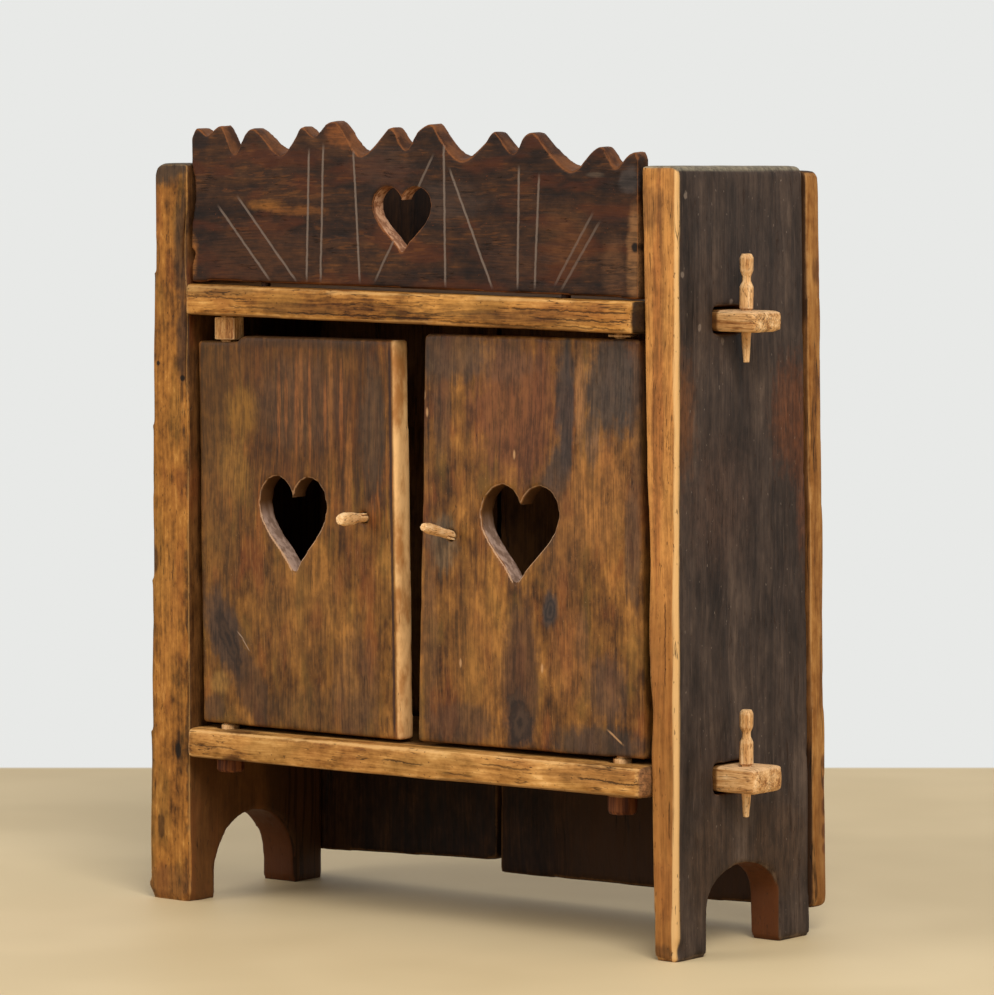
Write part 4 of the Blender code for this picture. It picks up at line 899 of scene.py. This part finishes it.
def door_right_wood():
    w = DoorWood("door_right_wood", RIGHT_DOOR_TONES, pith=(0.17, -0.02, 0.0), shift=(1.15, 0.93, 0.22),
                 knots=[((0.1481, 0.262), (0.03, 0.07), 3.1)])
    w.colour = w.stained(w.colour, [
        Stain(0.14, 0.5511, 0.06, 0.07, (98, 59, 37), 0.8),
        Stain(0.0567, 0.605, 0.05, 0.026, (72, 56, 44), 0.65),
        Stain(0.12, 0.6, 0.05, 0.022, (84, 62, 46), 0.45),
        Stain(0.045, 0.56, 0.012, 0.06, (78, 56, 40), 0.55),
        Stain(0.2473, 0.47, 0.036, 0.06, (144, 96, 50), 0.55),
        Stain(0.2671, 0.58, 0.036, 0.052, (60, 52, 47), 0.88),
        Stain(0.206, 0.56, 0.012, 0.075, (56, 47, 43), 0.88),
        Stain(0.193, 0.485, 0.014, 0.04, (62, 50, 44), 0.85, turn=20),
        Stain(0.224, 0.565, 0.0065, 0.05, (132, 92, 56), 0.75),
        Stain(0.24, 0.525, 0.01, 0.026, (84, 66, 54), 0.6),
        Stain(0.29, 0.4139, 0.01, 0.06, (76, 58, 44), 0.6),
        Stain(0.2, 0.42, 0.03, 0.06, (120, 80, 44), 0.4),
        Stain(0.1481, 0.275, 0.026, 0.08, (76, 51, 35), 0.8),
        Stain(0.1481, 0.222, 0.014, 0.018, (58, 44, 38), 0.85),
        Stain(0.1866, 0.3471, 0.009, 0.018, (64, 54, 50), 0.85),
        Stain(0.228, 0.32, 0.007, 0.03, (84, 62, 46), 0.55),
        Stain(0.259, 0.27, 0.026, 0.034, (72, 54, 43), 0.72),
        Stain(0.213, 0.3, 0.026, 0.05, (138, 90, 48), 0.45),
        Stain(0.09, 0.29, 0.03, 0.07, (134, 90, 44), 0.45),
        Stain(0.07, 0.22, 0.045, 0.024, (78, 56, 40), 0.62),
        Stain(0.2504, 0.212, 0.06, 0.02, (62, 49, 41), 0.8),
        Stain(0.046, 0.408, 0.02, 0.028, (88, 76, 60), 0.65),
        Stain(0.03, 0.32, 0.01, 0.1, (92, 64, 42), 0.5),
        Stain(0.295, 0.5, 0.006, 0.14, (86, 60, 40), 0.5),
    ])
    w.knot((0.1481, 0.228), (0.017, 0.026), turn=0, dark=(42, 32, 27), light=(88, 66, 50), strength=0.9)
    w.knot((0.1866, 0.3471), (0.007, 0.014), turn=20, dark=(44, 38, 36), light=(80, 66, 58), strength=0.85)
    pale = w.scratch((0.2567, 0.2303), (0.2817, 0.2131), 0.0022)
    for x, z in ((0.0222, 0.5629), (0.026, 0.545), (0.14, 0.505), (0.176, 0.286), (0.07, 0.285)):
        pale = pale.most(w.ramp(w.oval((x, z), (0.0016, 0.005)), 1.3, 0.5))
    w.lay(pale * 0.65, RIGHT_SCRATCH)
    w.heart((0.1484, 0.421), (0.064, 0.07))
    w.lay(w.worn(0.45, 0.95) * 0.35, RIGHT_RUBBED)
    return w.finished()


def peg_wood(name, grain, lift):
    """Bare whittled wood, pale, with dark fibres and a faint speckle."""
    w = Wood(name, grain, (0.0, 0.05, 0.0), ring=0.003, shift=(0.2, 0.5, 0.9))
    w.colour = w.tone(PEG_TONES, broad=1.2, streak=1.2, fibre=0.9, cloud=1.0, lift=lift)
    specks = w.flecks(0.0016, 0.005, 0.6)
    w.lay(specks * 0.6, PEG_SPECK)
    w.lay(w.worn() * 0.35, PEG_RUBBED)
    return w.done(w.colour, w.roughness(0.58), w.height(specks * 0.3))


def pin_wood():
    """The reddish brown of the door pins' heads, pale where they turn between the boards."""
    w = Wood("pin_wood", "Z", (0.0, 0.05, 0.0), ring=0.003, shift=(0.6, 0.1, 0.3))
    pale = w.tone(PEG_TONES)
    dark = w.mix(w.ramp(w.streak, 0.4, 0.6), *PIN_HEAD)
    w.colour = w.mix(w.past("Z", 0.163, 0.16), pale, dark)
    return w.done(w.colour, w.roughness(0.58), w.height(0.0))


def back_wood():
    w = Wood("back_boards_wood", "Z", (0.05, 0.25, 0.0), ring=0.006, shift=(0.7, 0.2, 0.4))
    cracks = w.cracks(0.006, 0.22, 0.03, 0.35)
    # Painted shade: the back boards' inside is near black in the tray behind the crest and under the lower
    # board, and less dark on the right half; between the boards a plainer inner tone is laid below
    w.colour = w.tone(BACK_SHADE_TONES)
    right = w.past("X", 0.0, 0.1)
    w.lay(right * 0.8, w.tone(BACK_SHADE_TONES, lift=0.75))
    outside = w.tinted(w.tone(INNER_TONES, broad=1.8, cloud=2.2, mottle=1.2, lift=-0.1), 0.3, 0.2)
    w.lay(w.faces("Y", 1), outside)
    w.lay(w.worn() * 0.35, BACK_RUBBED)
    # The back's inside between the boards: plain wood tone, without the painted shade
    bare_and_highlight = w.tone(INNER_TONES, lift=0.35)
    w.lay(w.faces("Y", -1) * w.band("Z", 0.2, 0.64, 0.01) * 0.9, bare_and_highlight)
    edge = w.tone(BACK_EDGE_TONES, broad=1.0, streak=1.0, fibre=0.7, cloud=1.0, lift=0.08)
    edge = w.mix(w.worn() * 0.4, edge, BACK_EDGE_RUBBED)
    edge = w.mix(w.band("Z", -0.1, 0.15, 0.05) * 0.45, edge, BACK_EDGE_LOW)
    knots = [Stain(0.14, up, 0.005, high, (92, 52, 26), 0.75, ragged=0.4)
             for up, high in ((0.18, 0.008), (0.158, 0.007), (0.133, 0.009), (0.107, 0.008), (0.089, 0.006))]
    edge = w.stained(edge, knots + [Stain(0.134, 0.6926, 0.006, 0.014, (84, 50, 26), 0.6)], face="YZ")
    w.lay(w.faces("X", 1) * w.past("X", 0.3, 0.31), edge)
    w.lay(cracks * 0.7, BLACK)
    return w.done(w.colour, w.roughness(0.64), w.height(cracks))


def iron():
    f = Finish("forged_iron_finish")
    lumps = f.noise(f.vector("MULTIPLY", f.place, (IRON_LUMPS,) * 3), detail=3.0)
    colour = f.mix(f.ramp(lumps, 0.42, 0.62), *IRON_SKIN)
    return f.done(colour, lumps * 0.3 + 0.55, lumps, depth=0.0004)


# Cuts across the crest's front: start, end and strength, as length along it and height over the floor
CREST_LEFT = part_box("crest_board")[0].x
CREST_SCRATCHES = [
    ((CREST_LEFT + start, start_height), (CREST_LEFT + end, end_height), strength)
    for start, start_height, end, end_height, strength in [
        (0.0377, 0.7613, 0.1148, 0.6773, 0.9),
        (0.0653, 0.7714, 0.1514, 0.6767, 0.9),
        (0.1671, 0.8224, 0.1633, 0.6768, 1.0),
        (0.1867, 0.8273, 0.1824, 0.6771, 1.0),
        (0.2272, 0.8211, 0.2362, 0.6767, 1.0),
        (0.336, 0.816, 0.2546, 0.6782, 0.7),
        (0.3481, 0.828, 0.3501, 0.6736, 1.0),
        (0.3542, 0.8018, 0.4124, 0.6735, 1.0),
        (0.4458, 0.8042, 0.4439, 0.6727, 1.0),
        (0.4717, 0.7961, 0.4658, 0.6731, 0.9),
        (0.5413, 0.7568, 0.4894, 0.6772, 0.5),
        (0.5499, 0.7478, 0.4976, 0.6725, 0.5),
    ]
]


# The pieces

# Hewing of the small whittled pieces and of the two cross boards
SMALL = dict(cell=0.0009, rounding=2, wave=0.0007, wave_size=(0.005, 0.014), chips=0.0)
CROSS = dict(cell=0.003, grain="X", rounding=3, wave=0.0009, wave_size=(0.02, 0.07), ease=0.0016)

pale_upright = peg_wood("peg_wood_upright", "Z", 0.05)
pale_forward = peg_wood("peg_wood_forward", "Y", 0.3)
pivot_finish = peg_wood("pivot_wood", "Z", -0.3)
pin_finish = pin_wood()

# Wear on the side boards: each hollow's middle, its radii and its push, in metres
LEFT_DENTS = (
    ((-0.322, 0.0, 0.8), (0.09, 0.3, 0.06), (0.0, 0.0, 0.004)),
    ((-0.346, -0.08, 0.803), (0.016, 0.12, 0.016), (0.0035, 0.0, -0.004)),
    ((-0.3566, -0.11, 0.0), (0.016, 0.024, 0.014), (0.004, 0.002, 0.0)),
    ((-0.2955, -0.11, 0.0), (0.014, 0.02, 0.012), (-0.003, 0.002, 0.0)),
    ((-0.2955, -0.11, 0.71), (0.012, 0.02, 0.06), (-0.006, 0.003, 0.0)),
    ((-0.2955, -0.11, 0.58), (0.01, 0.016, 0.05), (-0.003, 0.0015, 0.0)),
    ((-0.2955, -0.11, 0.06), (0.012, 0.02, 0.07), (-0.002, 0.002, 0.0)),
    ((-0.3565, -0.11, 0.3), (0.01, 0.016, 0.07), (0.0015, 0.001, 0.0)),
)
RIGHT_DENTS = (
    ((0.313, -0.11, 0.42), (0.01, 0.016, 0.08), (0.002, 0.001, 0.0)),
    ((0.318, -0.11, 0.25), (0.008, 0.014, 0.04), (0.002, 0.001, 0.0)),
    ((0.3545, -0.11, 0.01), (0.012, 0.02, 0.016), (-0.003, 0.002, 0.0)),
)

hewn("side_board_left", "carcass", side_left_wood(),
     Hewing(cell=0.0026, rounding=4, ease=0.0022, dents=LEFT_DENTS))
hewn("side_board_right", "carcass", side_right_wood(),
     Hewing(cell=0.0026, rounding=3, ease=0.0016, dents=RIGHT_DENTS))
hewn("upper_board", "carcass", upper_rail_wood(), Hewing(**CROSS))
hewn("lower_board", "carcass", lower_rail_wood(), Hewing(**CROSS))
crest_finish = crest_wood()
hewn("crest_board", "carcass", crest_finish,
     Hewing(cell=0.0018, grain="X", rounding=5, wave=0.0006, chips=0.0014, ease=0.0012))
for door, wood, ease in (("door_left", door_left_wood(), 0.0008), ("door_right", door_right_wood(), 0.0012)):
    hewn(door, door, wood,
         Hewing(cell=0.0025, rounding=3, wave=0.0008, chips=0.001, ease=ease))

back_finish = back_wood()
for part in ("left", "middle", "right"):
    hewn("back_board_" + part, "carcass", back_finish,
         Hewing(cell=0.004, rounding=2, ease=0.0015))

for hand in ("left", "right"):
    hewn("pivot_upper_" + hand, "door_" + hand, pivot_finish, Hewing(**SMALL))
    hewn("pivot_lower_" + hand, "carcass", pin_finish, Hewing(**SMALL))
    hewn("knob_" + hand, "door_" + hand, pale_forward, Hewing(grain="Y", **SMALL))
    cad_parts["knob_wedge_" + hand].data.materials[0] = pale_forward
    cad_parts["crest_dowel_" + hand].data.materials[0] = crest_finish
    for level in ("upper", "lower"):
        hewn(f"tusk_peg_{level}_{hand}", f"peg_{level}_{hand}", pale_upright, Hewing(**SMALL))

iron_finish = iron()
for name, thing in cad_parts.items():
    if name.startswith("back_nail_"):
        thing.data.materials[0] = iron_finish


# Studio

def floor():
    """A plain floor that turns into the pale wall in a straight line behind the cupboard."""
    bm = bmesh.new()
    bmesh.ops.create_grid(bm, x_segments=2, y_segments=2, size=FLOOR_HALF)
    mesh = bpy.data.meshes.new("floor")
    bm.to_mesh(mesh)
    bm.free()
    thing = placed("floor", mesh)
    f = Finish("floor_finish")
    turn = math.radians(CAMERA_TURN)
    ahead = f.vector("DOT_PRODUCT", f.place, (-math.sin(turn), math.cos(turn), 0.0), out="Value")
    aside = f.vector("DOT_PRODUCT", f.place, (math.cos(turn), math.sin(turn), 0.0), out="Value")
    far = abs(ahead).most(abs(aside))
    grain = f.noise(f.vector("MULTIPLY", f.place, (FLOOR_LUMPS,) * 3))
    colour = f.mix(f.ramp(grain, 0.35, 0.65) * 0.5, *FLOOR_TONES)
    f.done(colour, FLOOR_ROUGHNESS, gloss=FLOOR_GLOSS)
    glow = f.node("ShaderNodeEmission", None, {"Color": shade(*WALL_SHADE), "Strength": 1.0})
    share = f.ramp(far, FLOOR_REACH - FLOOR_FADE, FLOOR_REACH + FLOOR_FADE) * f.seen_directly()
    mixed = f.node("ShaderNodeMixShader", None, {0: share, 1: Value(f, f.shader.outputs[0]), 2: glow})
    f.feed(f.tree.nodes["Material Output"].inputs["Surface"], mixed)
    mesh.materials.append(f.material)


def sky():
    """Even light from all round, which itself looks like the pale wall."""
    world = bpy.data.worlds.new("studio")
    scene.world = world
    world.use_nodes = True
    world.node_tree.nodes.clear()
    t = Tree(world.node_tree)
    light = t.node("ShaderNodeBackground", None, {"Color": (1.0, 1.0, 1.0, 1.0), "Strength": SKY_LIGHT})
    wall = t.node("ShaderNodeBackground", None, {"Color": shade(*WALL_SHADE), "Strength": 1.0})
    t.node("ShaderNodeOutputWorld", None,
           {"Surface": t.node("ShaderNodeMixShader", None, {0: t.seen_directly(), 1: light, 2: wall})})


def lamp(name, place, size, power):
    """A square soft box that looks at the cupboard's middle."""
    data = bpy.data.lights.new(name, "AREA")
    data.shape = "SQUARE"
    data.size = size
    data.energy = power
    thing = placed(name, data)
    thing.location = place
    thing.rotation_euler = (Vector(LOOKED_AT) - Vector(place)).to_track_quat("-Z", "Y").to_euler()


def camera():
    data = bpy.data.cameras.new("camera")
    data.lens = CAMERA_LENS
    data.sensor_width = CAMERA_SENSOR
    data.sensor_fit = "HORIZONTAL"
    thing = placed("camera", data)
    thing.location = CAMERA_PLACE
    thing.rotation_euler = (math.radians(90.0 + CAMERA_PITCH), 0.0, math.radians(CAMERA_TURN))
    scene.camera = thing


floor()
sky()
lamp("key", *KEY_LAMP)
lamp("fill", *FILL_LAMP)
camera()
scene.view_settings.view_transform = "Standard"
